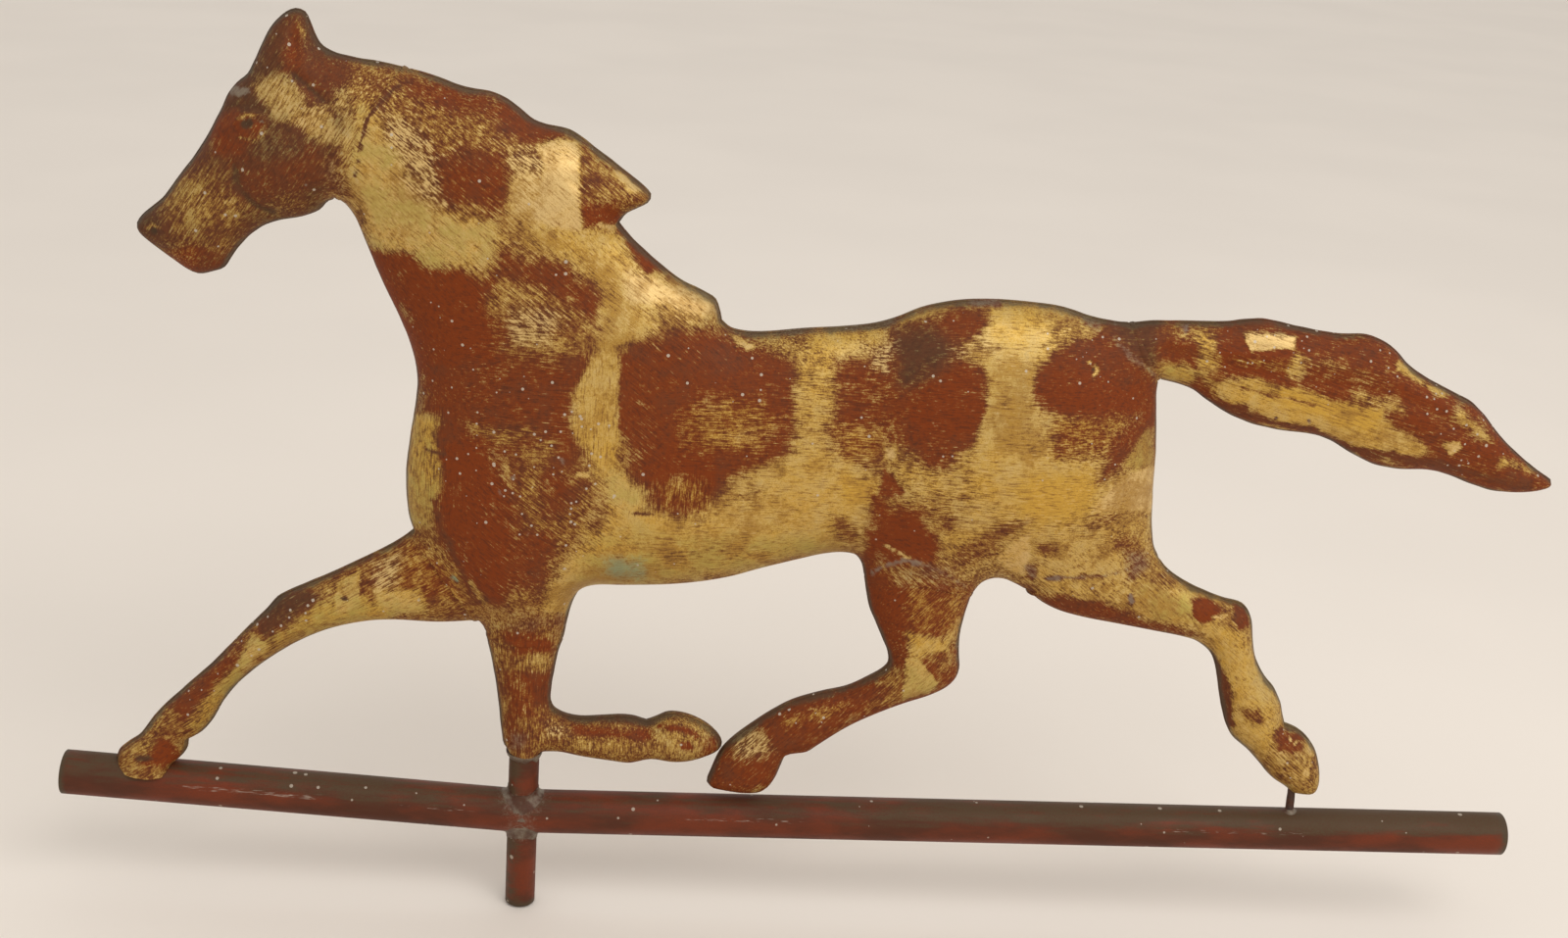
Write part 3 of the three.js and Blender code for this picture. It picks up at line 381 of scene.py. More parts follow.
# Named looks: shares of each finish that a painted patch sets
LOOK_SHARES = {
    "gold": dict(leaf=0.84, pale=0.35, brick=0.5, grime_and_shade=0, olive=0.25),
    # The fresh and bright looks lay paler leaf, and in places painted highlight on leaf that faces the
    # light.
    "fresh": dict(leaf=0.92, pale=0.6, brick=0.5, grime_and_shade=0, olive=0),
    "bright": dict(leaf=0.96, pale=0.86, brick=0.5, grime_and_shade=0, olive=0, glint=0.3),
    "orange": dict(leaf=0.88, pale=-0.3, brick=0.8, grime_and_shade=0, olive=0),
    "olive gold": dict(leaf=0.80, pale=0.3, brick=0.4, grime_and_shade=0, olive=0.95),
    "pale olive": dict(leaf=0.88, pale=0.6, brick=0.4, grime_and_shade=0, olive=0.8),
    "worn gold": dict(leaf=0.66, pale=0.35, brick=0.5, grime_and_shade=0.05, olive=0.25),
    "worn olive": dict(leaf=0.64, pale=0.2, brick=0.4, grime_and_shade=0.2, olive=0.8),
    "worn": dict(leaf=0.48, pale=0.3, brick=0.5, grime_and_shade=0.08, glint=0.25),
    "flecked": dict(leaf=0.44, pale=0.5, brick=0.4, grime_and_shade=0.05, glint=0.65),
    "streaked": dict(leaf=0.64, pale=0.5, brick=0.3, grime_and_shade=0.32, olive=0.3, glint=0.5),
    "dim": dict(leaf=0.25, pale=0.1, brick=0.3, grime_and_shade=0.36, olive=0.3, glint=0.15),
    "dim gold": dict(leaf=0.40, pale=0.2, brick=0.35, grime_and_shade=0.26, olive=0.3, glint=0.3),
    "haze": dict(leaf=0.32, pale=0.1, brick=0.9, grime_and_shade=0, olive=0, glint=0.1),
    "brown": dict(leaf=0.33, pale=0.2, brick=0.55, grime_and_shade=0.08),
    "orange brown": dict(leaf=0.36, pale=0.1, brick=0.9, grime_and_shade=0),
    "hazy red": dict(leaf=0.15, brick=0.8, grime_and_shade=0.03),
    "red": dict(leaf=-0.03, brick=1, grime_and_shade=0, glint=0),
    "dull red": dict(leaf=0.03, brick=0.65, grime_and_shade=0.07, glint=0.05),
    "dark red": dict(leaf=0.03, brick=0.45, grime_and_shade=0.35, glint=0),
    # The dark, dusky and black looks are laid for grime and, where noted at the patches, as painted shade.
    "dark": dict(leaf=0.10, brick=0.2, grime_and_shade=0.70),
    "dusky": dict(leaf=0.15, brick=0.3, grime_and_shade=0.55),
    "black": dict(leaf=0, grime_and_shade=1.1),
    "solder": dict(leaf=0.25, grime_and_shade=0.15, solder=0.45),
    "thin solder": dict(leaf=0.35, grime_and_shade=0.1, solder=0.28),
    "bare solder": dict(leaf=0.1, solder=0.85, pale=0.8),
    "verdigris": dict(green=0.72),
    "thin verdigris": dict(green=0.46),
    "level": dict(level=1, upright=0),
    "upright": dict(upright=1),
    "lightly speckled": dict(speckle=0.4),
    "speckled": dict(speckle=0.75),
    "thickly speckled": dict(speckle=1.2),
}

# Painted patches, each over those before it: look, softness of the edge in millimetres, then the outline
PATCH_SHARES = [
    # Head
    # The head's dusky ground: darker leaf over the head and, where it is left showing along the front of the
    # face, painted shade where the head rounds away.
    ("dusky", 4, -300, 700, -140, 790, -112, 920, -95, 970, -140, 1060, -220, 1060, -320, 800),
    ("dim", 5, -246, 800, -215, 862, -196, 845, -185, 775, -210, 740, -240, 745),
    ("dim gold", 4, -240, 800, -222, 830, -190, 805, -200, 785, -225, 785),
    # Painted shade along the front of the forehead.
    ("dark", 4, -212, 915, -186, 965, -168, 985, -184, 938, -196, 912),
    ("dusky", 4, -186, 965, -168, 1045, -158, 1055, -168, 965),
    ("dark red", 2.5, -197, 845, -170, 862, -142, 885, -140, 845, -165, 810, -195, 815),
    ("dim", 3, -165, 825, -145, 815, -150, 800, -185, 785, -175, 805),
    ("streaked", 2.5, -183, 945, -165, 962, -138, 925, -122, 885, -142, 885, -175, 920),
    ("streaked", 2.5, -136, 958, -124, 945, -117, 910, -118, 885, -128, 885),
    ("dull red", 2.5, -208, 905, -196, 915, -178, 900, -190, 862, -206, 865),
    ("dark", 2, -192, 920, -184, 930, -176, 920, -183, 912),
    ("dull red", 2.5, -165, 985, -160, 1020, -152, 1028, -150, 965, -163, 965),
    ("dusky", 3, -152, 1055, -138, 1045, -130, 1000, -112, 982, -136, 972, -148, 1000),
    ("dark red", 2.5, -157, 965, -140, 985, -120, 980, -132, 945, -147, 930),
    # Painted shade along the front of the muzzle.
    ("dark", 3, -262, 790, -250, 795, -243, 765, -262, 765),
    ("hazy red", 3, -240, 738, -222, 745, -212, 735, -218, 715, -235, 722),
    ("dark red", 3, -218, 740, -200, 745, -205, 718, -220, 715),
    ("thin solder", 3, -142, 865, -120, 875, -116, 830, -130, 812),
    ("speckled", 6, -180, 960, -170, 1050, -140, 1050, -130, 960),
    # Neck
    ("worn", 3, -118, 985, 0, 930, 75, 850, 50, 810, 125, 735, 120, 660, 60, 640, -30, 640, -100, 760,
        -126, 820),
    ("brown", 4, -120, 990, -85, 975, -78, 945, -117, 930),
    ("brown", 4, -112, 960, -50, 935, 2, 905, -10, 870, -55, 888, -100, 930),
    ("dull red", 3, -90, 972, -20, 948, 14, 912, -5, 903, -50, 933, -85, 945),
    ("pale olive", 3, -116, 930, -100, 908, -70, 800, -31, 803, -32, 765, -50, 752, -65, 735, -106, 757,
        -122, 840),
    ("flecked", 3, -102, 925, -85, 915, -60, 860, -58, 822, -78, 822, -100, 895),
    ("brown", 4, -74, 890, -55, 905, -25, 890, -6, 865, -10, 835, -30, 805, -55, 812),
    ("dull red", 4, -66, 865, -50, 888, -28, 880, -16, 865, -16, 840, -30, 811, -63, 838),
    ("flecked", 3, -20, 885, 2, 885, 2, 850, -12, 820),
    ("fresh", 3, -20, 850, 0, 862, 12, 830, 0, 800, -20, 812),
    # Pale leaf on the mane lock, partly painted highlight where it faces the light.
    ("bright", 1.6, -4, 897, 8, 905, 20, 903, 24, 890, 26, 797, 12, 797, -6, 812, 2, 872),
    ("brown", 1.6, 24.5, 905, 75, 850, 50, 822, 50, 800, 26.5, 798.5, 23.5, 865),
    ("red", 2, 27, 826, 48, 834, 53, 812, 50, 800.5, 27, 800.5),
    ("gold", 3, 0, 797, 50, 797.5, 58, 770, 58, 720, 48, 715, 15, 765, -5, 780),
    ("dull red", 4, -26, 760, 20, 752, 46, 710, 42, 678, -3, 725, -26, 740),
    ("brown", 4, -36, 735, 0, 720, 35, 685, 40, 660, -10, 632, -24, 645),
    ("flecked", 3, -22, 705, 0, 705, 15, 690, 10, 655, -15, 650),
    ("gold", 3, 45, 715, 60, 722, 76, 690, 57, 645, 40, 650),
    ("red", 2, 53, 802, 64, 790, 84, 762, 70, 746, 58.5, 785),
    # Painted highlight on the withers, laid as bright leaf.
    ("bright", 2.2, 58.5, 748, 92, 742, 121, 714, 121, 700, 100, 697, 62, 715),
    ("worn", 3, 78, 697, 102, 703, 124, 693, 115, 680, 80, 683),
    ("red", 3, -115, 759, -90, 759, -75, 737, -45, 739, -34, 720, -22, 635, -30, 590, -90, 590),
    ("dull red", 5, -75, 625, -40, 640, 0, 628, 40, 645, 26, 500, -75, 500),
    ("brown", 3, -48, 548, 4, 547, 6, 526, -30, 510),
    ("gold", 3, 42, 662, 60, 655, 60, 495, 42, 495, 26, 560, 28, 585),
    ("level", 9, -60, 600, -60, 700, 30, 660, 50, 500, -60, 500),
    ("speckled", 8, -80, 690, 20, 640, 60, 500, 30, 380, -50, 380),
    # Chest
    ("red", 4, -66, 515, -30, 515, -18, 480, -10, 380, -12, 320, -22, 303, -34, 306, -60, 380),
    ("dull red", 4, -12, 500, 22, 500, 30, 470, 14, 345, 0, 318, -14, 330),
    ("brown", 3, -14, 525, 12, 525, 10, 410, -6, 405),
    ("brown", 3, 14, 420, 24, 440, 36, 440, 36, 395, 20, 370),
    ("gold", 2.5, 8, 296, 22, 365, 34, 385, 60, 400, 60, 340, 20, 285),
    ("brown", 2, -14, 318, 12, 320, 10, 300, -14, 298),
    ("worn olive", 2.2, -90, 562, -64, 545, -62, 470, -70, 405, -85, 400),
    ("gold", 2, -78, 552, -70, 552, -70, 530, -78, 530),
    ("upright", 5, -90, 570, -60, 570, -50, 400, -90, 400),
    ("upright", 5, 28, 660, 60, 660, 60, 500, 28, 500),
    # Barrel
    ("worn", 3, 85, 690, 180, 700, 178, 640, 100, 660),
    ("dull red", 4, 56, 645, 100, 682, 125, 680, 174, 645, 177, 560, 168, 512, 134, 487, 105, 437, 90, 440,
        66, 495),
    ("dull red", 0.9, 55.7, 644, 70, 652, 84, 640, 84, 530, 66, 528, 55.7, 550),
    ("red", 5, 90, 530, 120, 520, 125, 490, 105, 470, 85, 500),
    ("haze", 5, 95, 572, 120, 600, 150, 602, 170, 578, 150, 510, 100, 530),
    ("orange brown", 5, 110, 560, 130, 590, 152, 580, 150, 545, 125, 540),
    ("haze", 3, 88, 470, 100, 490, 116, 480, 122, 448, 90, 445),
    ("brown", 2.5, 56, 550, 66, 525, 56, 490),
    # Painted highlight: a small streak on the top of the back.
    ("fresh", 1.5, 127, 682, 147, 664, 142, 659, 132, 669),
    ("worn gold", 3, 172, 664, 184, 695, 232, 698, 237, 672, 208, 658, 197, 560, 202, 515, 176, 515,
        176, 640),
    ("gold", 2, 180, 684, 200, 692, 228, 690, 228, 674, 182, 665),
    ("hazy red", 4, 202, 655, 238, 672, 246, 640, 242, 570, 206, 565),
    ("haze", 3, 200, 565, 240, 570, 240, 528, 212, 525),
    ("flecked", 3, 214, 680, 238, 680, 236, 640, 222, 645),
    ("gold", 4, 55, 445, 108, 430, 120, 438, 138, 489, 180, 524, 200, 524, 236, 498, 228, 415, 150, 395,
        50, 400),
    ("pale olive", 3, 55, 490, 76, 465, 76, 448, 55, 440),
    ("worn", 3, 130, 485, 165, 492, 160, 455, 130, 450),
    ("gold", 3, 150, 450, 165, 475, 200, 480, 200, 430, 150, 430),
    ("orange", 3, 214, 495, 235, 492, 234, 470, 215, 470),
    ("brown", 2.5, 208, 448, 220, 440, 226, 415, 208, 410),
    ("olive gold", 5, 40, 405, 150, 415, 205, 415, 212, 395, 100, 345, 30, 335),
    ("worn olive", 3, 85, 385, 130, 398, 185, 390, 130, 375, 88, 362),
    ("solder", 3, 118, 708, 240, 722, 238, 708, 160, 684, 125, 686),
    ("thin verdigris", 6, 44, 380, 62, 386, 78, 378, 82, 345, 44, 345),
    ("verdigris", 3, 58, 372, 70, 372, 74, 354, 56, 354),
    ("level", 8, 80, 600, 250, 680, 240, 360, 50, 340, 100, 500),
    ("upright", 5, 65, 490, 125, 490, 125, 430, 65, 430),
    ("lightly speckled", 8, 100, 640, 160, 640, 160, 560, 100, 560),
    # Haunch
    ("worn", 4, 236, 560, 430, 560, 440, 380, 232, 370),
    ("worn gold", 3, 282, 735, 355, 738, 350, 700, 360, 600, 400, 600, 400, 500, 345, 440, 300, 430,
        290, 560),
    ("gold", 4, 298, 740, 336, 740, 331, 560, 380, 530, 400, 510, 385, 470, 345, 445, 300, 500, 302, 600),
    ("gold", 3, 296, 716, 342, 716, 330, 684, 300, 684),
    ("orange", 4, 340, 512, 385, 512, 385, 470, 345, 455),
    ("worn", 3, 338, 730, 372, 730, 372, 705, 350, 680),
    ("worn", 3, 248, 716, 275, 738, 296, 738, 296, 728),
    ("gold", 2, 236, 703, 243, 702, 275, 732, 250, 724),
    ("dull red", 3, 250, 705, 278, 728, 293, 728, 300, 715, 296, 695, 275, 680, 262, 690),
    ("flecked", 3, 276, 678, 300, 695, 310, 680, 272, 655),
    ("dull red", 2, 240, 662, 262, 668, 300, 664, 305, 600, 297, 548, 255, 550, 243, 580),
    ("red", 3, 253, 640, 290, 650, 298, 600, 290, 562, 258, 565),
    ("hazy red", 2.2, 236, 650, 246, 650, 250, 545, 236, 555),
    ("dull red", 3, 256, 565, 296, 560, 278, 512, 252, 545),
    ("worn gold", 2.5, 250, 516, 303, 514, 303, 482, 258, 483),
    ("dull red", 1.5, 239.5, 518, 255.5, 484, 250, 474, 237, 480),
    ("bright", 1.5, 238.5, 542, 245, 542, 244.8, 527, 240.5, 528),
    ("worn", 2.5, 242, 475, 300, 482, 300, 462, 245, 460),
    ("red", 3, 233, 480, 250, 464, 268, 462, 285, 415, 282, 390, 262, 378, 236, 372),
    ("brown", 3, 268, 465, 300, 450, 298, 425, 282, 418),
    ("worn gold", 2.5, 284, 430, 322, 450, 312, 425, 300, 410, 284, 408),
    ("brown", 2.5, 296, 405, 325, 455, 345, 457, 328, 425, 318, 395, 300, 385),
    ("fresh", 1.5, 324.5, 400, 346, 443, 348.5, 380, 338, 382),
    ("worn gold", 3, 350, 445, 428, 480, 430, 400, 350, 380),
    ("brown", 2.2, 354, 420, 366, 420, 366, 408, 354, 408),
    ("brown", 2.2, 386, 470, 404, 470, 402, 455, 388, 455),
    ("brown", 2.5, 404, 440, 422, 448, 424, 418, 406, 415),
    ("dull red", 2, 336, 612, 337, 660, 350, 690, 388, 712, 418, 655, 422, 600, 410, 585, 345, 598),
    ("red", 4, 345, 640, 372, 655, 410, 640, 412, 605, 350, 605),
    ("brown", 3, 345, 600, 408, 602, 395, 540, 355, 545),
    ("orange brown", 3, 352, 596, 398, 598, 388, 555, 358, 555),
    ("dull red", 2.5, 404, 590, 412, 585, 392, 505, 386, 512),
    ("worn olive", 1.5, 404.5, 540, 417.5, 590, 426, 545, 413, 532),
    ("fresh", 1.5, 386, 470, 403.5, 522, 429, 542, 429, 478, 402, 474),
    ("dusky", 5, 236, 700, 262, 708, 284, 672, 258, 620, 242, 625),
    ("dark", 3, 244, 684, 270, 674, 254, 662, 250, 640),
    ("level", 8, 240, 740, 420, 720, 420, 420, 240, 420),
    ("speckled", 8, 340, 700, 420, 720, 420, 620, 360, 620),
    ("lightly speckled", 8, 240, 720, 290, 720, 290, 640, 240, 640),
    ("dusky", 3, 384, 735, 418, 735, 422, 660, 406, 664, 384, 712),
    # Tail
    ("hazy red", 3, 419, 745, 500, 750, 600, 720, 720, 560, 710, 520, 560, 540, 419, 640),
    ("brown", 2.2, 422, 735, 456, 735, 456, 712, 422, 712),
    ("dull red", 2, 419, 699, 442, 700, 446, 682, 419, 676),
    ("worn gold", 2, 442, 712, 456, 708, 462, 668, 446, 660),
    ("olive gold", 2, 419, 674, 436, 676, 450, 662, 440, 648, 419, 652),
    ("dull red", 2, 458, 738, 471, 738, 474, 692, 458, 692),
    ("orange brown", 2.2, 452, 690, 510, 690, 510, 672, 460, 674),
    ("red", 2, 462, 699, 512, 704, 512, 692, 462, 689),
    ("bright", 1.3, 472.5, 721.5, 508.5, 721.5, 509.5, 705, 479.5, 696.5),
    ("dark red", 2.5, 470, 742, 520, 738, 520, 726, 472, 725),
    ("red", 2, 462, 680, 508, 668, 508, 662, 462, 668),
    ("worn gold", 2, 509, 705, 518, 694, 519, 665, 508, 662),
    ("dull red", 2, 519, 720, 575, 712, 578, 690, 519, 700),
    ("worn", 2, 516, 697, 536, 690, 562, 676, 516, 684),
    ("red", 2, 520, 670, 550, 664, 578, 652, 578, 644, 520, 662),
    ("worn", 2, 555, 655, 590, 645, 598, 622, 555, 640),
    ("gold", 2, 448, 660, 500, 655, 574, 623, 592, 610, 616, 576, 600, 562, 575, 566, 520, 602, 480, 612),
    ("orange", 2.5, 500, 650, 540, 636, 574, 622, 570, 606, 500, 634),
    ("gold", 1.8, 583, 697, 606, 669, 622, 656, 615, 652, 581, 686),
    ("red", 2, 583, 664, 605, 660, 627, 640, 625, 630, 590, 650),
    ("red", 2, 597, 632, 611, 632, 618, 610, 597, 613),
    ("dull red", 2, 615, 608, 631, 611, 629, 597, 616, 591),
    ("fresh", 1.6, 624, 591, 635, 594, 640, 586, 631, 575),
    ("gold", 2, 632, 638, 656, 606, 667, 590, 656, 590, 630, 626),
    ("red", 2, 638, 652, 664, 622, 656, 618, 646, 634),
    ("red", 2, 640, 592, 668, 602, 682, 580, 671, 570, 648, 570),
    ("gold", 2, 665, 578, 680, 572, 692, 560, 668, 561),
    ("speckled", 6, 430, 730, 600, 720, 690, 580, 640, 560, 580, 630, 450, 680),
    # Reaching foreleg
    ("brown", 2.2, -90, 420, -56, 360, -30, 298, -30, 270, -140, 240, -240, 60, -300, 30, -290, 90,
        -200, 280),
    ("haze", 3, -117.5, 345, -80, 385, -48, 310, -117.5, 290),
    ("flecked", 3, -108, 350, -90, 370, -90, 310, -108, 305),
    ("pale olive", 2, -105, 312, -78, 318, -70, 284, -105, 280),
    ("worn olive", 2, -186, 222, -150, 283, -118, 308, -92, 272, -130, 258, -182, 210),
    ("olive gold", 2, -150, 262, -140, 285, -110, 292, -95, 280, -120, 264),
    ("pale olive", 1.2, -134, 298, -132, 318, -117.5, 340, -117.5, 285, -134, 276),
    ("brown", 1.5, -117.2, 345, -100, 350, -98, 325, -117.2, 304),
    ("worn", 2, -150, 305, -136, 325, -130, 318, -136, 295),
    ("dusky", 2.2, -186, 262, -176, 292, -155, 310, -146, 300, -168, 258, -182, 240),
    ("dark", 2.5, -180, 280, -170, 296, -154, 304, -158, 288),
    ("pale olive", 1.6, -191.5, 243, -179.5, 226, -205, 180, -204, 194),
    ("dull red", 2.2, -198, 236, -250, 130, -240, 110, -200, 206),
    ("brown", 2.2, -250, 140, -262, 110, -256, 85, -240, 95),
    ("worn olive", 2, -203, 190, -228, 140, -240, 104, -232, 96, -208, 146, -196, 172),
    ("brown", 2, -272, 95, -240, 90, -238, 55, -255, 34, -290, 34, -288, 60),
    ("worn", 2, -281, 68, -270, 80, -258, 78, -278, 56),
    ("red", 2, -258, 76, -249, 76, -246, 52, -268, 48),
    ("dark", 1.6, -280, 55, -266, 60, -262, 52, -274, 48),
    ("thickly speckled", 5, -260, 110, -200, 250, -150, 320, -130, 300, -180, 220, -240, 90),
    # Folded foreleg
    ("brown", 2.2, -34, 290, 32, 290, 22, 130, 85, 150, 85, 80, -12, 85),
    ("thin solder", 2.2, -20, 298, 24, 292, 22, 264, -18, 264),
    ("red", 2, -16, 258, 20, 258, 17, 236, -10, 228),
    ("worn", 2, 2, 234, 15, 236, 16, 208, -14, 210),
    ("dull red", 2, -8, 207, 16, 205, 16, 162, 6, 158, -6, 178),
    ("hazy red", 2.5, -20, 205, -8, 207, 6, 158, 12, 138, -4, 138, -6, 100, -18, 100),
    ("brown", 2, -26, 225, -17, 225, -11, 110, -18, 108),
    ("brown", 2.5, -4, 138, 34, 140, 34, 100, -4, 102),
    ("flecked", 2, 14, 134, 28, 132, 28, 112, 14, 112),
    ("dusky", 1.8, 22, 152, 76, 152, 90, 146, 100, 158, 106, 150, 92, 133, 30, 140),
    ("brown", 2, 32, 138, 82, 136, 86, 128, 32, 130),
    ("red", 2, 36, 130, 90, 127, 92, 114, 36, 119),
    ("worn", 2, 30, 116, 62, 114, 90, 110, 86, 88, 30, 94),
    ("worn", 2.2, 92, 146, 112, 158, 134, 142, 142, 115, 120, 88, 92, 90),
    ("red", 1.6, 111, 113, 118, 115, 121, 104, 113, 101),
    ("solder", 2, -14, 118, 0, 118, 2, 90, -13, 88),
    ("upright", 4, -34, 290, 30, 290, 16, 150, -20, 100),
    # Tucked hindleg
    ("hazy red", 2.2, 225, 385, 312, 360, 312, 220, 200, 90, 180, 40, 125, 40, 130, 120, 245, 240),
    ("thin solder", 3, 240, 386, 262, 396, 296, 392, 306, 355, 262, 352),
    ("haze", 3, 262, 352, 306, 352, 306, 290, 266, 290),
    ("red", 2.5, 236, 350, 262, 345, 263, 275, 258, 240, 246, 262),
    ("dull red", 2, 256, 275, 268, 270, 267, 230, 254, 235),
    ("gold", 1.9, 268, 289, 298, 284, 300, 264, 284, 258, 272, 256),
    ("brown", 2, 282, 262, 303, 262, 301, 236, 292, 226),
    ("pale olive", 1.4, 268, 254.5, 277, 253, 293.5, 218, 286, 203, 268.5, 190),
    ("brown", 2.2, 256, 235, 267, 235, 267.5, 190, 246, 172, 240, 182),
    ("dull red", 2.5, 160, 155, 200, 195, 244, 210, 256, 205, 205, 110, 180, 100),
    ("haze", 2, 182, 155, 232, 185, 228, 170, 184, 138),
    ("flecked", 3, 150, 128, 168, 136, 176, 106, 168, 90, 150, 94),
    ("dull red", 2.5, 128, 90, 184, 90, 180, 55, 160, 40, 130, 46),
    ("red", 2, 160, 80, 176, 82, 174, 62, 160, 60),
    ("lightly speckled", 6, 170, 170, 250, 220, 270, 200, 190, 110),
    # Trailing hindleg
    ("worn gold", 2.5, 345, 384, 440, 430, 500, 370, 525, 300, 590, 150, 590, 70, 555, 75, 500, 160,
        480, 280, 390, 315),
    ("solder", 2.2, 413, 420, 430, 422, 436, 398, 420, 384),
    ("worn", 2.5, 430, 405, 448, 400, 456, 375, 436, 362),
    ("olive gold", 2.5, 430, 372, 462, 362, 470, 330, 440, 325),
    ("dull red", 2, 360, 352, 400, 346, 478, 306, 440, 306, 365, 332),
    ("red", 1.8, 467, 358, 477, 361, 493, 343, 480, 321, 470, 330),
    ("worn", 2, 488, 358, 504, 357, 512, 340, 512, 308, 490, 325),
    ("dull red", 1.8, 498, 352, 506, 350, 512, 325, 504, 316),
    ("gold", 2.2, 480, 318, 502, 310, 532, 240, 540, 200, 530, 172, 506, 175, 500, 262),
    ("dark red", 1.8, 486, 290, 505, 238, 514, 176, 505, 168, 488, 250),
    ("brown", 2, 514, 200, 530, 205, 537, 186, 528, 172),
    ("gold", 2, 519, 174, 546, 178, 547, 146, 532, 138),
    ("worn", 2.5, 546, 182, 566, 172, 582, 130, 584, 80, 560, 82, 536, 124),
    ("dull red", 2, 548, 168, 566, 168, 566, 142, 550, 142),
    ("speckled", 4, 550, 170, 575, 165, 580, 100, 555, 100),
    ("lightly speckled", 5, 470, 360, 510, 360, 510, 310, 480, 310),
]

# Painted strokes: look, half width in millimetres, then the line
STROKE_SHARES = [
    ("dusky", 0.9, -88, 962, -100, 942, -112, 915, -120, 845),
    # Painted shade in the sunk groove of the jaw strap.
    ("dark", 1.3, -158, 961, -149, 948, -139, 932),
    ("worn", 0.6, -193, 905, -187, 912, -179, 909),
    ("dim gold", 0.6, -192, 884, -184, 880, -176, 890),
    # Painted shade: the sunk pupil of the eye laid black.
    ("black", 2, -188.5, 900.5, -185.5, 901.5),
    # Painted shade in the sunk groove of the jowl.
    ("dark", 1.6, -196, 848, -193, 820, -183, 803, -172, 797),
    ("bare solder", 1.8, -193, 936, -187, 938),
    # Painted shade: the sunk nostril laid black.
    ("black", 1.2, -249, 764, -248, 764),
    ("dim gold", 0.7, -253, 766, -249, 772, -244, 768),
    ("worn", 0.6, -155, 1020, -151, 1005),
    # Painted highlight along the raised lock of the mane.
    ("bright", 0.9, 48, 871, 63, 850),
    ("bright", 1.7, 39, 805, 48, 804),
    ("fresh", 0.9, 31, 485, 38, 484),
    ("dusky", 0.9, 68, 437, 81, 437),
    ("dusky", 0.9, -73, 506, -61, 503),
    # Painted shadow line along the fold where the reaching foreleg meets the chest, and a painted highlight
    # beside it.
    ("dark red", 1.8, -67, 440, -61, 400, -40, 318),
    ("worn", 1.5, -41, 330, -31, 303),
    ("verdigris", 1.7, -53, 337, -50, 330),
    ("bright", 0.9, 244, 412, 262, 395),
    ("bare solder", 0.7, 238, 372, 250, 386, 262, 393, 272, 388),
    ("solder", 0.9, 272, 388, 288, 378, 306, 358),
    ("bare solder", 1.2, 362, 377, 372, 378),
    ("solder", 0.8, 372, 378, 404, 384, 418, 394),
    ("solder", 2, 348, 390, 352, 380),
    ("bare solder", 1.9, 423, 358, 424, 350),
    ("bright", 1, 485, 333, 495, 336),
    ("thin solder", 1.6, 22, 290, 17, 225),
    ("solder", 2.4, 288, 738, 302, 740),
    ("solder", 2.4, 366, 722, 374, 717),
    ("solder", 1.1, 384, 724, 386, 700, 416, 660),
    ("bare solder", 1.3, 432, 724, 434, 717),
    ("brown", 1.2, 478, 648, 530, 632),
    ("dark red", 2.2, 430, 640, 500, 606, 530, 600, 560, 577, 620, 563, 690, 538),
    # Painted shade: the small sunk dent on the haunch laid black.
    ("black", 1.1, 374, 660, 374.8, 664),
    ("fresh", 0.8, 371.5, 671, 377.5, 660, 376.5, 652, 373.5, 652),
    ("black", 1.6, -127.8, 298, -127.2, 298),
    ("thin solder", 1.4, -90, 692, -83, 672),
    ("thin solder", 1.6, -76, 602, -77, 560),
    ("red", 1.3, 97, 136, 110, 137, 124, 121),
]

# Painted spots: look, radius in millimetres, then their places
SPOT_SHARES = [
    ("bare solder", 1.2, -13, 476, -22, 455, -3, 400, 20, 503, -178, 904, -151, 832, 505, 611, 528, 610),
    ("bright", 1.1, 556, 160, 562, 155, 562.5, 138, 572, 143, 573, 110, 552, 138),
]


class Joint:
    """The line on which a limb meets the body, and how far the limb's swell reaches into the body."""

    def __init__(self, line, swell, blend):
        run = smooth_line(line, FINE_STEP)
        length = line_lengths(run)[-1]
        count = math.ceil(length * math.pi / 2 / EDGE_STEP)
        places = (1 - np.cos(np.pi * np.arange(count + 1) / count)) / 2 * length
        self.points = at_lengths(run, places)
        self.along = unit(np.gradient(self.points, axis=0))
        self.across = np.stack([self.along[:, 1], -self.along[:, 0]], axis=1)
        self.swell = swell
        self.blend = blend


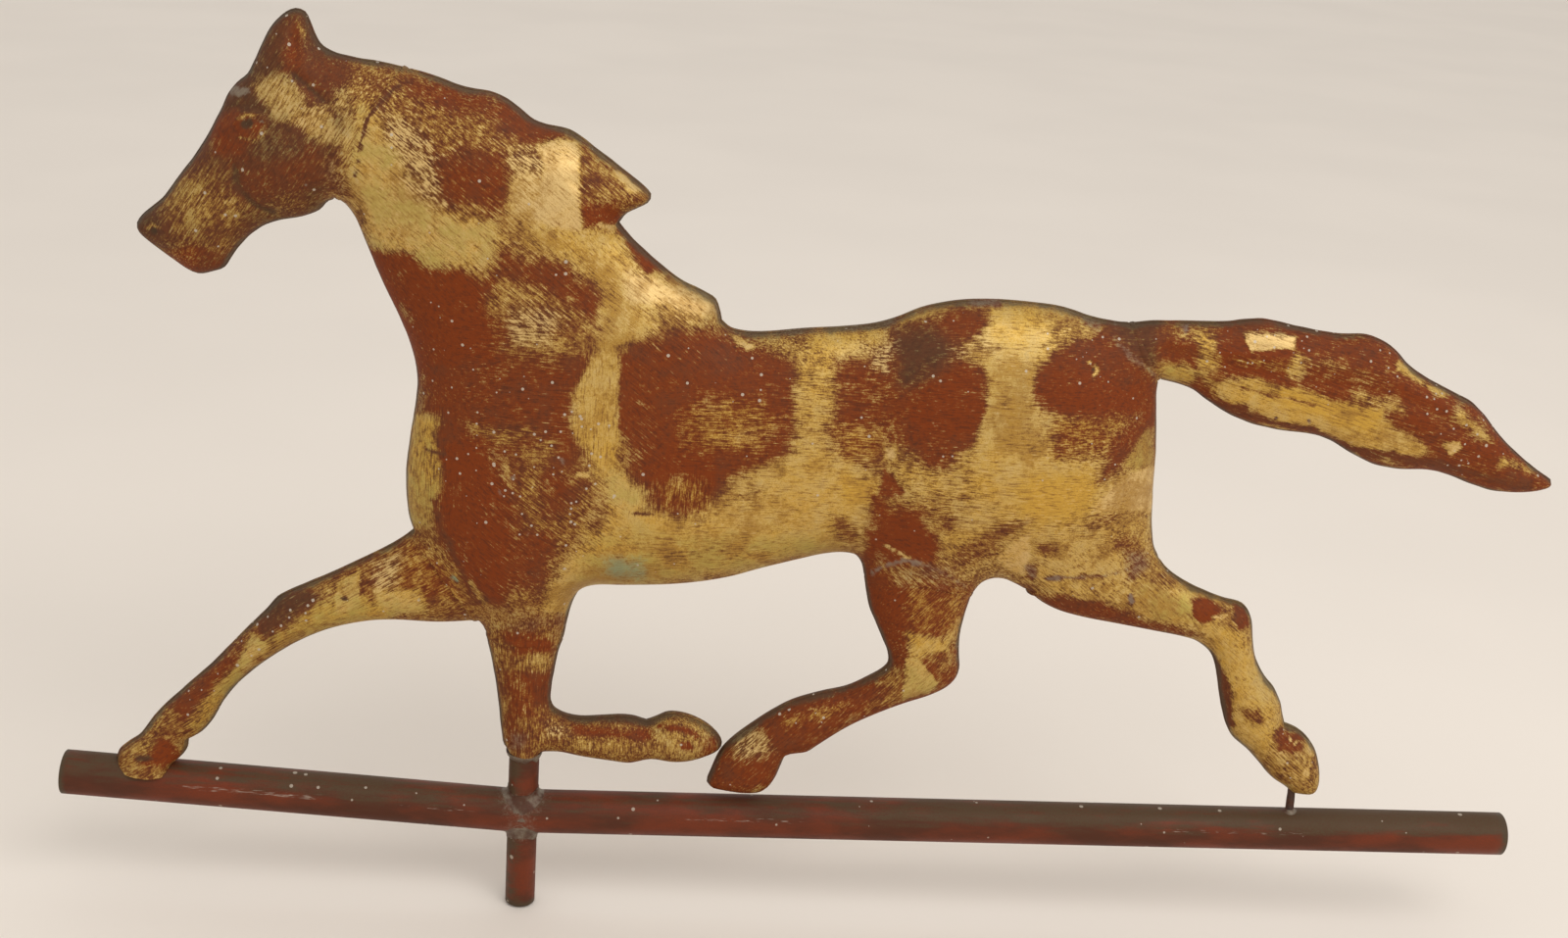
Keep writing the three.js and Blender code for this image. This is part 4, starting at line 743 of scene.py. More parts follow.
class Horse:
    """The outline, joints and fullness of the horse, in millimetres, at the sizes that the panel shows."""

    def __init__(self, context):
        sizes = context.scene.weathervane_sizes
        self.length = sizes.horse_length / MM
        self.sheet = sizes.sheet_thickness / MM
        self.tube_radius = sizes.tube_radius / MM
        self.tube_wall = sizes.tube_wall / MM
        self.tube_height = sizes.tube_height / MM
        self.sleeve_radius = sizes.sleeve_radius / MM
        self.zero = self.tube_height + self.tube_radius - HORSE_SINK
        self.scale = np.array((self.length, sizes.horse_height / MM)) / THOUSANDTHS
        self.edges = {}
        for name, stretches in EDGE_SHARES.items():
            runs = [smooth_line(self.line_at(stretch), EDGE_STEP) for stretch in stretches]
            self.edges[name] = np.vstack([runs[0], *[run[1:] for run in runs[1:]]])
        self.joints = {}
        for name, line in JOINT_LINE_SHARES.items():
            swell, blend = JOINT_SWELLS[name]
            self.joints[name] = Joint(self.line_at(line), SWELLS[swell], blend)
        self.starts = np.vstack([line[:-1] for line in self.edges.values()])
        self.ends = np.vstack([line[1:] for line in self.edges.values()])

    def at_share(self, shares):
        """Points along and up in millimetres from thousandths of the horse's length and height."""
        return np.asarray(shares) * self.scale + (0, self.zero)

    def line_at(self, shares):
        """Points in millimetres of a line that is given as along and up in turn."""
        return self.at_share(np.reshape(shares, (-1, 2)))

    def seen(self, points):
        """Where the main line of sight through each point crosses the middle plane, as along and up."""
        away = SIGHT_POINT[1] / (SIGHT_POINT[1] + np.abs(points[:, 1]))
        along = SIGHT_POINT[0] + (points[:, 0] - SIGHT_POINT[0]) * away
        up = SIGHT_POINT[2] + (points[:, 2] - SIGHT_POINT[2]) * away
        return np.stack([along, up], axis=1)

    def edge_distance(self, points):
        """Smooth distance from the whole outline: zero on it, rounded where two sides are equally near."""
        side = np.linalg.norm(self.ends - self.starts, axis=1)
        found = np.zeros(len(points))
        for first in range(0, len(points), CHUNK):
            here = points[first:first + CHUNK, None]
            to_start = self.starts[None] - here
            to_end = self.ends[None] - here
            a = np.linalg.norm(to_start, axis=2)
            b = np.linalg.norm(to_end, axis=2)
            facing = a * b * (a * b + np.sum(to_start * to_end, axis=2))
            facing = np.maximum(facing, TINY)
            found[first:first + CHUNK] = np.sqrt(2 / np.sum(side * (a + b) / facing, axis=1))
        return found

    def surface_height(self, kind, points, distance):
        """Height of a pressing's surface over its rim."""
        own = SWELLS[kind]
        roll = np.full(len(points), own[0])
        crown = np.full(len(points), own[1])
        for joint in self.joints.values() if kind == "body" else ():
            near = np.exp(-(line_distance(points, joint.points) / joint.blend) ** 2)
            roll += (joint.swell[0] - roll) * near
            crown += (joint.swell[1] - crown) * near
        raw = np.sqrt(2 * roll * distance)
        height = raw / np.cbrt(1 + (raw / crown) ** 3)
        fade = 1 - np.exp(-distance / RELIEF_FADE)
        for along, up, spread_along, spread_up, share in SWELL_RELIEF_SHARES.get(kind, ()):
            away = (points - self.at_share((along, up))) / (self.scale * (spread_along, spread_up))
            height += share * own[1] * fade * np.exp(-np.sum(away**2, axis=1))
        return height


def unit(vectors):
    return vectors / np.maximum(np.linalg.norm(vectors, axis=-1, keepdims=True), TINY)


def line_lengths(line):
    return np.concatenate([[0], np.cumsum(np.linalg.norm(np.diff(line, axis=0), axis=1))])


def at_lengths(line, places):
    lengths = line_lengths(line)
    return np.stack([np.interp(places, lengths, line[:, axis]) for axis in range(line.shape[1])], axis=1)


def smooth_line(points, step):
    """A smooth curve through points, as evenly spaced points."""
    before = 2 * points[0] - points[1]
    after = 2 * points[-1] - points[-2]
    knots = np.vstack([before, points, after])
    gaps = np.sqrt(np.linalg.norm(np.diff(knots, axis=0), axis=1))
    place = np.linspace(0, 1, SPLINE_PARTS, endpoint=False)[:, None]
    fine = []
    for i in range(len(points) - 1):
        p0, p1, p2, p3 = knots[i:i + 4]
        g0, g1, g2 = gaps[i:i + 3]
        leave = ((p1 - p0) / g0 - (p2 - p0) / (g0 + g1) + (p2 - p1) / g1) * g1
        arrive = ((p2 - p1) / g1 - (p3 - p1) / (g1 + g2) + (p3 - p2) / g2) * g1
        square = 3 * (p2 - p1) - 2 * leave - arrive
        cube = 2 * (p1 - p2) + leave + arrive
        fine.append(p1 + leave * place + square * place**2 + cube * place**3)
    line = np.vstack([*fine, points[-1:]])
    length = line_lengths(line)[-1]
    count = max(1, round(length / step))
    return at_lengths(line, np.linspace(0, length, count + 1))


def line_distance(points, line):
    """Distance of each point from a line of straight sides."""
    least = np.full(len(points), np.inf)
    for start, end in zip(line[:-1], line[1:]):
        side = end - start
        share = np.clip((points - start) @ side / max(side @ side, TINY), 0, 1)
        away = points - start - share[:, None] * side
        least = np.minimum(least, np.sum(away**2, axis=1))
    return np.sqrt(least)


def is_inside(points, line):
    """Whether each point is inside a closed line."""
    inside = np.zeros(len(points), bool)
    for start, end in zip(line, np.roll(line, -1, axis=0)):
        crosses = (start[1] > points[:, 1]) != (end[1] > points[:, 1])
        if start[1] == end[1]:
            continue
        reach = (end[0] - start[0]) * (points[:, 1] - start[1]) / (end[1] - start[1]) + start[0]
        inside ^= crosses & (points[:, 0] < reach)
    return inside


def smooth_step(value):
    value = np.clip(value, 0, 1)
    return value * value * (3 - 2 * value)


def lumps(points, size, seed):
    """Smooth noise from about -1 to 1 whose bumps are about this size."""
    shift = Vector((seed, -seed, seed / 2))
    return np.array([noise.noise(Vector(point) / size + shift) for point in points.tolist()])


class Outline:
    """A closed line round a pressing, with how its rim is turned in at each point.

    The rim is turned out of the outline where it is free, the way being worked out where none is given, and
    across the joint where it meets a neighbour.
    """

    def __init__(self, rows):
        kept = []
        for row in rows:
            if not kept or np.linalg.norm(kept[-1][0] - row[0]) >= SAME_POINT:
                kept.append(row)
        if np.linalg.norm(kept[-1][0] - kept[0][0]) < SAME_POINT:
            kept.pop()
        points, self.free, self.flat = zip(*reversed(kept))
        self.points = np.array(points)
        self.open_edge = np.array([flat is not None for flat in self.flat])


def edge_run(horse, name, side):
    """An edge with its ends set back from the joints it runs into, and the way out at those ends."""
    points = horse.edges[name].copy()
    free = [None] * len(points)
    for index in (0, -1):
        for joint in horse.joints.values():
            for end in (0, -1):
                if np.linalg.norm(joint.points[end] - horse.edges[name][index]) > FINE_STEP:
                    continue
                free[index] = joint.along[end] * (1 if end else -1)
                points[index] = joint.points[end] + joint.across[end] * side * JOINT_WIDTH / 2
    return points, free


def trace_pressing(horse, name):
    """The outline of a pressing, counter-clockwise."""
    side = 1 if name == "body" else -1
    rows = []
    for run in PRESSING_RUNS[name]:
        place, kind = run.rsplit(" ", 1)
        if kind == "edge":
            rows += [(point, free, None) for point, free in zip(*edge_run(horse, place, side))]
        elif kind == "joint":
            joint = horse.joints[place]
            line = joint.points + joint.across * side * JOINT_WIDTH / 2
            met = [(point, None, across) for point, across in zip(line[1:-1], joint.across[1:-1])]
            rows += met if side > 0 else met[::-1]
        else:
            start = horse.edges[place + "_rear"][-1]
            end = horse.edges[place + "_front"][0]
            along = unit(end - start)
            count = math.ceil(np.linalg.norm(end - start) / EDGE_STEP)
            flat = np.array([along[1], -along[0]])
            rows += [(start + (end - start) * i / count, None, flat) for i in range(1, count)]
    return Outline(rows)


def outward_ways(points):
    """The way out of a counter-clockwise outline at each point, lengthened at corners."""
    first = unit(points - np.roll(points, 1, axis=0))
    second = unit(np.roll(points, -1, axis=0) - points)
    normal = unit(np.stack([first[:, 1] + second[:, 1], -first[:, 0] - second[:, 0]], axis=1))
    facing = normal[:, 0] * first[:, 1] - normal[:, 1] * first[:, 0]
    return normal / np.maximum(facing, CORNER_SHARE)[:, None]


def inside_points(horse, kind, outline):
    """Points inside an outline: rows along its silhouette at equal rises, then an even field."""
    line = outline.points
    step = FIELD_STEPS[kind]
    roll = SWELLS[kind][0]
    ways = unit(outward_ways(line))
    at_edge = ~outline.open_edge
    rims = [line[indices] for indices in open_groups(outline.open_edge)]
    kept = []
    depths = [(ROW_RISE * (row + 1)) ** 2 / (2 * roll) for row in range(ROW_COUNTS[kind])]
    for depth in depths:
        row = line[at_edge] - ways[at_edge] * depth
        near = line_distance(row, np.vstack([line, line[:1]]))
        kept.append(row[is_inside(row, line) & (near > depth * ROW_SLACK_SHARE)])
    low = line.min(axis=0)
    high = line.max(axis=0)
    rise = step * math.sin(math.pi / 3)
    rows = np.arange(low[1], high[1], rise)
    field = np.vstack([
        [(along, up) for along in np.arange(low[0] + i % 2 * step / 2, high[0], step)]
        for i, up in enumerate(rows)
    ])
    field = field[is_inside(field, line)]
    away = horse.edge_distance(field)
    field = field[away > depths[-1] + step * FIELD_EDGE_SHARE]
    inner = np.vstack([*kept, field])
    for rim in rims:
        inner = inner[line_distance(inner, rim) > step * FIELD_EDGE_SHARE]
    return inner


def open_groups(flags):
    """Runs of neighbouring indices where the flags are set, on a closed line."""
    groups = []
    for index in np.flatnonzero(flags):
        if groups and index == groups[-1][-1] + 1:
            groups[-1].append(index)
        else:
            groups.append([index])
    return [np.array(group) for group in groups]


def fill_outline(line, inner):
    """Even triangles that fill a closed line and use the points inside it."""
    count = len(line)
    points = [Vector(point) for point in np.vstack([line, inner]).tolist()]
    sides = [(i, (i + 1) % count) for i in range(count)]
    made, _, faces, source, _, _ = delaunay_2d_cdt(points, sides, [list(range(count))], 1, TINY)
    order = np.array([rows[0] if rows else -1 for rows in source])
    return np.array([tuple(point) for point in made]), np.array(faces), order


def corner_normals(points, faces):
    """Unit normals at the points of a triangle mesh."""
    a, b, c = points[faces.T]
    normals = np.cross(b - a, c - a)
    sums = np.zeros_like(points)
    for corner in range(3):
        np.add.at(sums, faces[:, corner], normals)
    return unit(sums)


def seat_on_tube(horse, points):
    """Lifts the open end of the reaching hoof onto the round of the tube that it stands on."""
    middle = tube_middle(horse, points[:, 0])
    inside = np.maximum(horse.tube_radius**2 - points[:, 1] ** 2, 0)
    target = middle + np.sqrt(inside) + CLEARANCE
    opening = middle + HOOF_CUT_RISE
    weight = smooth_step((HOOF_SEAT_REACH + opening - points[:, 2]) / HOOF_SEAT_REACH)
    seated = points.copy()
    seated[:, 2] += weight * np.maximum(target - opening, 0)
    return seated


def half_shell(horse, name):
    """The left half of a pressing: points, faces, and each point's distance from the silhouette."""
    kind = "leg" if name.endswith("leg") else name
    outline = trace_pressing(horse, name)
    flat, faces, order = fill_outline(outline.points, inside_points(horse, kind, outline))
    count = len(outline.points)
    distance = horse.edge_distance(flat)
    rim = (order >= 0) & (order < count)
    free_rim = np.zeros(len(flat), bool)
    free_rim[rim] = ~outline.open_edge[order[rim]]
    height = horse.surface_height(kind, flat, distance)
    height[free_rim] = 0
    outer = np.stack([flat[:, 0], -SEAM_WIDTH / 2 - height, flat[:, 1]], axis=1)
    corners = flat[faces]
    first = corners[:, 1] - corners[:, 0]
    second = corners[:, 2] - corners[:, 0]
    turned = first[:, 0] * second[:, 1] - first[:, 1] * second[:, 0] < 0
    faces[turned] = faces[turned][:, ::-1]
    fade = smooth_step(distance / MARK_FADE)
    seen = horse.seen(outer)
    outer[:, 1] -= fade * (mark_heights(horse, seen) + dents(outer))
    if name == "reaching_foreleg":
        outer = seat_on_tube(horse, outer)
    normals = corner_normals(outer, faces)
    ways = outward_ways(outline.points)
    for index in np.flatnonzero(rim):
        place = order[index]
        if outline.flat[place] is not None:
            flat_way = np.array([outline.flat[place][0], 0, outline.flat[place][1]])
            normals[index] = unit(normals[index] - flat_way * (normals[index] @ flat_way))
        else:
            free = outline.free[place]
            way = ways[place] if free is None else free
            normals[index] = (way[0], 0, way[1])
    inner = outer - normals * horse.sheet
    total = len(outer)
    here = np.full(count, -1)
    here[order[rim]] = np.flatnonzero(rim)
    after = np.roll(here, -1)
    walls = np.vstack([
        np.stack([after, here, here + total], axis=1),
        np.stack([after, here + total, after + total], axis=1),
    ])
    inside_faces = faces[:, ::-1] + total
    all_faces = np.vstack([faces, inside_faces, walls])
    return np.vstack([outer, inner]), all_faces, np.tile(distance, 2), np.tile(seen, (2, 1))


def mark_heights(horse, seen):
    """Raised and sunk marks worked into the sheet, where they are seen."""
    height = np.zeros(len(seen))
    for along, up, wide, high, rise in DIMPLE_SHARES:
        away = (seen - horse.at_share((along, up))) / (wide, high)
        height += rise * np.exp(-np.sum(away**2, axis=1))
    for width, rise, *line in CREASE_SHARES:
        run = smooth_line(horse.line_at(line), CREASE_STEP)
        near = box_around(seen, run, width * CREASE_REACH)
        away = line_distance(seen[near], run) / width
        height[near] += rise * np.exp(-away**2)
    for edge, rise, *line in STEP_SHARES:
        run = smooth_line(horse.line_at(line + line[:2]), CREASE_STEP)
        near = box_around(seen, run, edge)
        height[near] += rise * smooth_step(0.5 + signed_distance(seen[near], run) / edge)
    return height


def dents(points):
    """Small unevenness of hand-worked sheet."""
    rise = BROAD_DENT * lumps(points, *BROAD_DENT_LUMPS)
    return rise + FINE_DENT * lumps(points, *FINE_DENT_LUMPS)


def box_around(points, line, reach):
    low = line.min(axis=0) - reach
    high = line.max(axis=0) + reach
    return np.flatnonzero(np.all((points > low) & (points < high), axis=1))


def signed_distance(points, line):
    """Distance inside a closed line, negative outside it."""
    closed = np.vstack([line, line[:1]])
    away = line_distance(points, closed)
    return np.where(is_inside(points, line), away, -away)


class Paint:
    """Shares of each finish at the points of a piece, laid on patch by patch."""

    def __init__(self, horse, seen, distance):
        self.horse = horse
        self.seen = seen
        spots = np.hstack([seen, np.zeros((len(seen), 1))])
        self.ragged = lumps(spots, *RAGGED_BROAD_LUMPS) + lumps(spots, *RAGGED_FINE_LUMPS) / 2
        self.shares = {finish: np.full(len(seen), share) for finish, share in PLAIN_SHARES.items()}
        for look, softness, *line in PATCH_SHARES:
            self.area(LOOK_SHARES[look], softness, line)
        for look, width, *line in STROKE_SHARES:
            self.stroke(LOOK_SHARES[look], width, line)
        for look, radius, *places in SPOT_SHARES:
            for place in zip(places[::2], places[1::2]):
                self.stroke(LOOK_SHARES[look], radius, place * 2)
        rim = np.exp(-(distance / RIM_REACH) ** 2) * (1 + self.ragged / 2)
        self.shares["rim"] = np.clip(rim, 0, 1)

    def lay(self, finishes, chosen, mask):
        for finish, share in finishes.items():
            before = self.shares[finish][chosen]
            self.shares[finish][chosen] = before + (share - before) * mask

    def area(self, finishes, softness, line):
        run = self.horse.line_at(line)
        crisp = softness < CRISP_EDGE
        softness *= CRISP_SHARE if crisp else SOFT_SHARE
        chosen = box_around(self.seen, run, softness + RAGGED_RISE)
        if not len(chosen):
            return
        inside = signed_distance(self.seen[chosen], run)
        if not crisp:
            inside += self.ragged[chosen] * min(RAGGED_RISE, softness * RAGGED_SHARE)
        self.lay(finishes, chosen, smooth_step(0.5 + inside / (2 * softness)))

    def stroke(self, finishes, width, line):
        run = self.horse.line_at(line)
        chosen = box_around(self.seen, run, 2 * width)
        if not len(chosen):
            return
        away = line_distance(self.seen[chosen], run) * (1 + self.ragged[chosen] * RAGGED_SHARE)
        self.lay(finishes, chosen, smooth_step(1.5 - away / width))

    def store(self, mesh):
        for name, finishes in PAINT_LAYERS.items():
            store_layer(mesh, name, [self.shares[finish] for finish in finishes])


def make_mesh(name, points, faces):
    """A mesh object from points in millimetres."""
    mesh = bpy.data.meshes.new(name)
    faces = faces.tolist() if isinstance(faces, np.ndarray) else faces
    mesh.from_pydata((np.asarray(points) * MM).tolist(), [], faces)
    mesh.validate()
    mesh.shade_smooth()
    mesh.set_sharp_from_angle(angle=SHARP_ANGLE)
    piece = bpy.data.objects.new(name, mesh)
    bpy.context.scene.collection.objects.link(piece)
    return piece


def fit(piece, material, slot, *nodes):
    """Finishes a piece, fixes it to the vane and hides the parts that it replaces."""
    piece.data.materials.clear()
    piece.data.materials.append(material)
    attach(piece, "vane")
    if nodes:
        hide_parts(*nodes)
    return piece


def press_pair(horse, name):
    """The left and right half of a pressing."""
    material = worn_leaf(name + " leaf over bole", name)
    points, faces, distance, seen = half_shell(horse, name)
    paint = Paint(horse, seen, distance)
    for side, turn in (("left", 1), ("right", -1)):
        turned = faces[:, ::turn]
        piece = make_mesh(f"{name}_{side}_shell", points * (1, turn, 1), turned)
        paint.store(piece.data)
        fit(piece, material, "leaf_over_copper", f"{name}_{side}_half")


def skin_rows(rows, closed):
    """Faces over rows of section points, each row joined to the next."""
    count, size = len(rows), len(rows[0])
    faces = []
    for i in range(count if closed else count - 1):
        here = i * size
        after = (i + 1) % count * size
        for k in range(size):
            m = (k + 1) % size
            faces.append((here + k, after + k, after + m, here + m))
    if not closed:
        faces.append(tuple(range(size)))
        faces.append(tuple(reversed(range((count - 1) * size, count * size))))
    return faces


def bead_section(sheet, stem, wide, rise):
    """Section of a bead that fills a gap and caps its rims: across the gap, and out of the sheet."""
    section = [(-stem, -sheet), (-stem, BEAD_SEAT), (-wide, BEAD_SEAT)]
    for share in np.linspace(-1, 1, BEAD_PARTS)[1:-1]:
        section.append((share * wide, BEAD_SEAT + rise * (1 - share**2)))
    return section + [(wide, BEAD_SEAT), (stem, BEAD_SEAT), (stem, -sheet)]


def seam_bead(horse, name, side):
    """Solder along one edge of the middle seam, with a low cap over the rims of both halves."""
    points, free = edge_run(horse, name, side)
    closed_ways = outward_ways(points[::-1])[::-1]
    closed_ways[0] = outward_at_end(points[0], points[1])
    closed_ways[-1] = outward_at_end(points[-2], points[-1])
    ways = np.array([way if own is None else own for way, own in zip(closed_ways, free)])
    rough = lumps(np.hstack([points, np.zeros((len(points), 1))]), *BEAD_LUMPS)
    half = BEAD_HALF * (1 + rough / 4)
    proud = BEAD_RISE * (1 + rough / 2)
    stem = SEAM_WIDTH / 2 - CLEARANCE
    rows = []
    for point, way, wide, rise in zip(points, ways, half, proud):
        section = bead_section(horse.sheet, stem, wide, rise)
        rows.append([(point[0] + way[0] * out, y, point[1] + way[1] * out) for y, out in section])
    return np.array(rows)


def outward_at_end(start, end):
    """The way out of a clockwise silhouette beside one of its sides."""
    side = end - start
    return unit(np.array([-side[1], side[0]]))


def joint_bead(horse, name):
    """Solder right round the joint between two pressings."""
    joint = horse.joints[name]
    line = joint.points
    travelled = line_lengths(line)
    last = len(line) - 1
    distance = horse.edge_distance(line)
    height = SEAM_WIDTH / 2 + horse.surface_height("body", line, distance)
    height[[0, last]] = SEAM_WIDTH / 2
    flat = np.vstack([
        np.stack([travelled, -height], axis=1),
        np.stack([travelled, height], axis=1)[::-1],
    ])
    order = np.r_[np.arange(last + 1), np.arange(last + 1)[::-1]]
    ways = outward_ways(flat)
    rough = lumps(np.stack([line[order, 0], flat[:, 1], line[order, 1]], axis=1), *BEAD_LUMPS)
    stem = JOINT_WIDTH / 2 - CLEARANCE
    rows = []
    for index, (turn, way) in enumerate(zip(order, ways)):
        wide = JOINT_BEAD_HALF * (1 + rough[index] / 3)
        rise = JOINT_BEAD_RISE * (1 + rough[index] / 2)
        row = []
        for across, out in bead_section(horse.sheet, stem, wide, rise):
            place = line[turn] + joint.across[turn] * across + joint.along[turn] * way[0] * out
            row.append((place[0], flat[index, 1] + way[1] * out, place[1]))
        rows.append(row[::-1])
    return np.array(rows)


def solder_piece(horse, name, rows, closed, material, node):
    """A bead as a piece, painted as the sheet beside it is."""
    points = rows.reshape(-1, 3)
    if node.startswith("reaching_foreleg"):
        points = seat_on_tube(horse, points)
    piece = make_mesh(name, points, skin_rows(rows, closed))
    paint = Paint(horse, horse.seen(points), horse.edge_distance(points[:, [0, 2]]))
    paint.store(piece.data)
    fit(piece, material, "solder", node)


def tube_middle(horse, along):
    """Height of the middle of the direction tube, which bends upwards on both sides of the sleeve."""
    slope = np.where(along < 0, -math.tan(TUBE_FRONT_RISE), math.tan(TUBE_REAR_RISE))
    return horse.tube_height + along * slope


def ring_rows(middles, normals, radii, sides):
    """Rings of points round a line in the upright plane, in millimetres."""
    turns = np.linspace(0, 2 * math.pi, sides, endpoint=False)
    rows = []
    for middle, normal, radius in zip(middles, normals, radii):
        level = np.cos(turns)[:, None] * np.array([0, 1, 0])
        upright = np.sin(turns)[:, None] * normal
        rows.append(middle + radius * (level + upright))
    return np.array(rows)


def pipe_points(middles, normals, radius, wall):
    """An open pipe with rounded rims: out along the outside and back along the bore."""
    bore = radius - wall
    ends = unit(middles[[0, -1]] - middles[[1, -2]])
    first, last = middles[0], middles[-1]
    near = first - ends[0] * RIM_ROUND
    far = last - ends[1] * RIM_ROUND
    between = list(middles[1:-1])
    side = list(normals[1:-1])
    line = [near, *between, far, last, last, far, *between[::-1], near, first, first]
    ways = [normals[0], *side, *[normals[-1]] * 4, *side[::-1], *[normals[0]] * 3]
    radii = [radius] * len(middles) + [radius - RIM_ROUND, bore + RIM_ROUND]
    radii += [bore] * len(middles) + [bore + RIM_ROUND, radius - RIM_ROUND]
    return ring_rows(np.array(line), np.array(ways), radii, PIPE_SIDES)


def direction_pipe(horse):
    """The horizontal tube, bent at the sleeve and open at both ends."""
    low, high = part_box("direction_tube")
    front, rear = low.x / MM, high.x / MM
    front += horse.tube_radius * math.sin(TUBE_FRONT_RISE)
    rear -= horse.tube_radius * math.sin(TUBE_REAR_RISE)
    bend = np.linspace(-BEND_REACH, BEND_REACH, BEND_PARTS)
    along = np.concatenate([
        np.linspace(front, -BEND_REACH, PIPE_PARTS)[:-1], bend, np.linspace(BEND_REACH, rear, PIPE_PARTS)[1:]
    ])
    middles = np.stack([along, np.zeros_like(along), tube_middle(horse, along)], axis=1)
    slope = np.gradient(middles[:, 2], along)
    normals = unit(np.stack([-slope, np.zeros_like(slope), np.ones_like(slope)], axis=1))
    return pipe_points(middles, normals, horse.tube_radius, horse.tube_wall)


def upright_pipe(foot, top, radius, wall):
    count = math.ceil((top - foot) / SLEEVE_STEP)
    up = np.linspace(foot, top, count + 1)
    middles = np.stack([np.zeros_like(up), np.zeros_like(up), up], axis=1)
    normals = np.tile((1, 0, 0), (len(up), 1))
    return pipe_points(middles, normals, radius, wall)


def cut_for_sleeve(horse, piece):
    """Takes the round hole that the sleeve passes through out of the direction tube."""
    middles = np.array([(0, 0, horse.tube_height + turn * horse.tube_radius) for turn in (-2, 2)])
    radii = [horse.sleeve_radius + CLEARANCE] * 2
    rows = ring_rows(middles, [(1, 0, 0)] * 2, radii, PIPE_SIDES)
    cutter = make_mesh("cutter", rows.reshape(-1, 3), skin_rows(rows, False))
    fix_normals(cutter)
    hole = piece.modifiers.new("hole", "BOOLEAN")
    hole.operation = "DIFFERENCE"
    hole.solver = "EXACT"
    hole.object = cutter
    settle_modifiers(piece)
    bpy.data.objects.remove(cutter)


def fix_normals(piece):
    """Turns all the faces of a closed mesh outwards."""
    work = bmesh.new()
    work.from_mesh(piece.data)
    bmesh.ops.recalc_face_normals(work, faces=work.faces)
    work.to_mesh(piece.data)
    work.free()


def settle_modifiers(piece):
    """Makes what a piece's modifiers give its own mesh."""
    shown = piece.evaluated_get(bpy.context.evaluated_depsgraph_get())
    made = bpy.data.meshes.new_from_object(shown)
    piece.modifiers.clear()
    piece.data = made


def wavy_round(radius, height, waves):
    """Ways out from an upright line, right round it, each with the unevenness of the solder there."""
    turns = np.linspace(0, 2 * math.pi, RING_PARTS, endpoint=False)
    ways = np.stack([np.cos(turns), np.sin(turns)], axis=1)
    heights = np.full((RING_PARTS, 1), height)
    return zip(ways, lumps(np.hstack([ways * radius, heights]), *waves))


def sleeve_solder(horse, turn):
    """A lumpy ring of solder where the sleeve enters the direction tube, above it or below it."""
    sleeve = horse.sleeve_radius
    rows = []
    for direction, wave in wavy_round(sleeve, turn * sleeve, SLEEVE_SOLDER_LUMPS):
        reach = FILLET_REACH * (1 + wave / 3)
        rise = FILLET_RISE * (1 + wave / 2)
        profile = []
        for share in np.linspace(0, 1, FILLET_PARTS):
            out = sleeve + FILLET_LEAST + reach * (1 - share) ** 2
            profile.append((out, rise * share**2))
        profile += [(sleeve + FILLET_SEAT, rise), (sleeve + FILLET_SEAT, 0)]
        row = []
        for out, up in profile:
            x, y = direction * out
            crest = math.sqrt(max(horse.tube_radius**2 - y * y, 0)) + FILLET_SEAT
            inner = math.sqrt(horse.tube_radius**2 - (direction[1] * sleeve) ** 2)
            base = crest + (inner - crest) * up / rise
            row.append((x, y, tube_middle(horse, x) + turn * (base + up)))
        rows.append(row[::turn])
    return np.array(rows)


def knee_solder(horse):
    """Solder that runs down the sleeve from the open end of the folded foreleg."""
    sleeve = horse.sleeve_radius
    ends = (horse.edges["folded_foreleg_front"][0], horse.edges["folded_foreleg_rear"][-1])
    top = min(end[1] for end in ends) - KNEE_SOLDER_GAP
    rows = []
    for direction, wave in wavy_round(sleeve, top, KNEE_SOLDER_LUMPS):
        drop = KNEE_SOLDER_DROP * (1 + wave / 2)
        profile = [(sleeve + FILLET_SEAT, top)]
        for share in np.linspace(0, 1, FILLET_PARTS):
            out = sleeve + FILLET_LEAST + KNEE_SOLDER_REACH * (1 - share**2)
            profile.append((out, top - drop * share))
        profile.append((sleeve + FILLET_SEAT, top - drop))
        rows.append([(direction[0] * out, direction[1] * out, up) for out, up in profile])
    return np.array(rows)


def stay_line(horse):
    """The two ends of the stay rod: on the tube's upper side, and in the trailing hoof."""
    along = float(horse.at_share((STAY_FOOT_SHARE, 0))[0])
    foot = (along, float(tube_middle(horse, along)) + horse.tube_radius)
    return np.array([foot, horse.at_share(STAY_HEAD_SHARE)])


def stay_peg(horse):
    """The rod that holds up the trailing hoof, hand-cut and slightly waisted."""
    foot, head = stay_line(horse)
    way = unit(head - foot)
    ends = foot - way * STAY_TUBE_REACH, head + way * STAY_HOOF_REACH
    shares = np.linspace(0, 1, STAY_PARTS)
    line = ends[0] + (ends[1] - ends[0]) * shares[:, None]
    middles = np.stack([line[:, 0], np.zeros(STAY_PARTS), line[:, 1]], axis=1)
    rough = lumps(middles, *STAY_LUMPS)
    radii = STAY_RADIUS * (1 + rough * STAY_ROUGH_SHARE)
    normals = np.tile((way[1], 0, -way[0]), (STAY_PARTS, 1))
    return ring_rows(middles, normals, radii, ROD_SIDES)


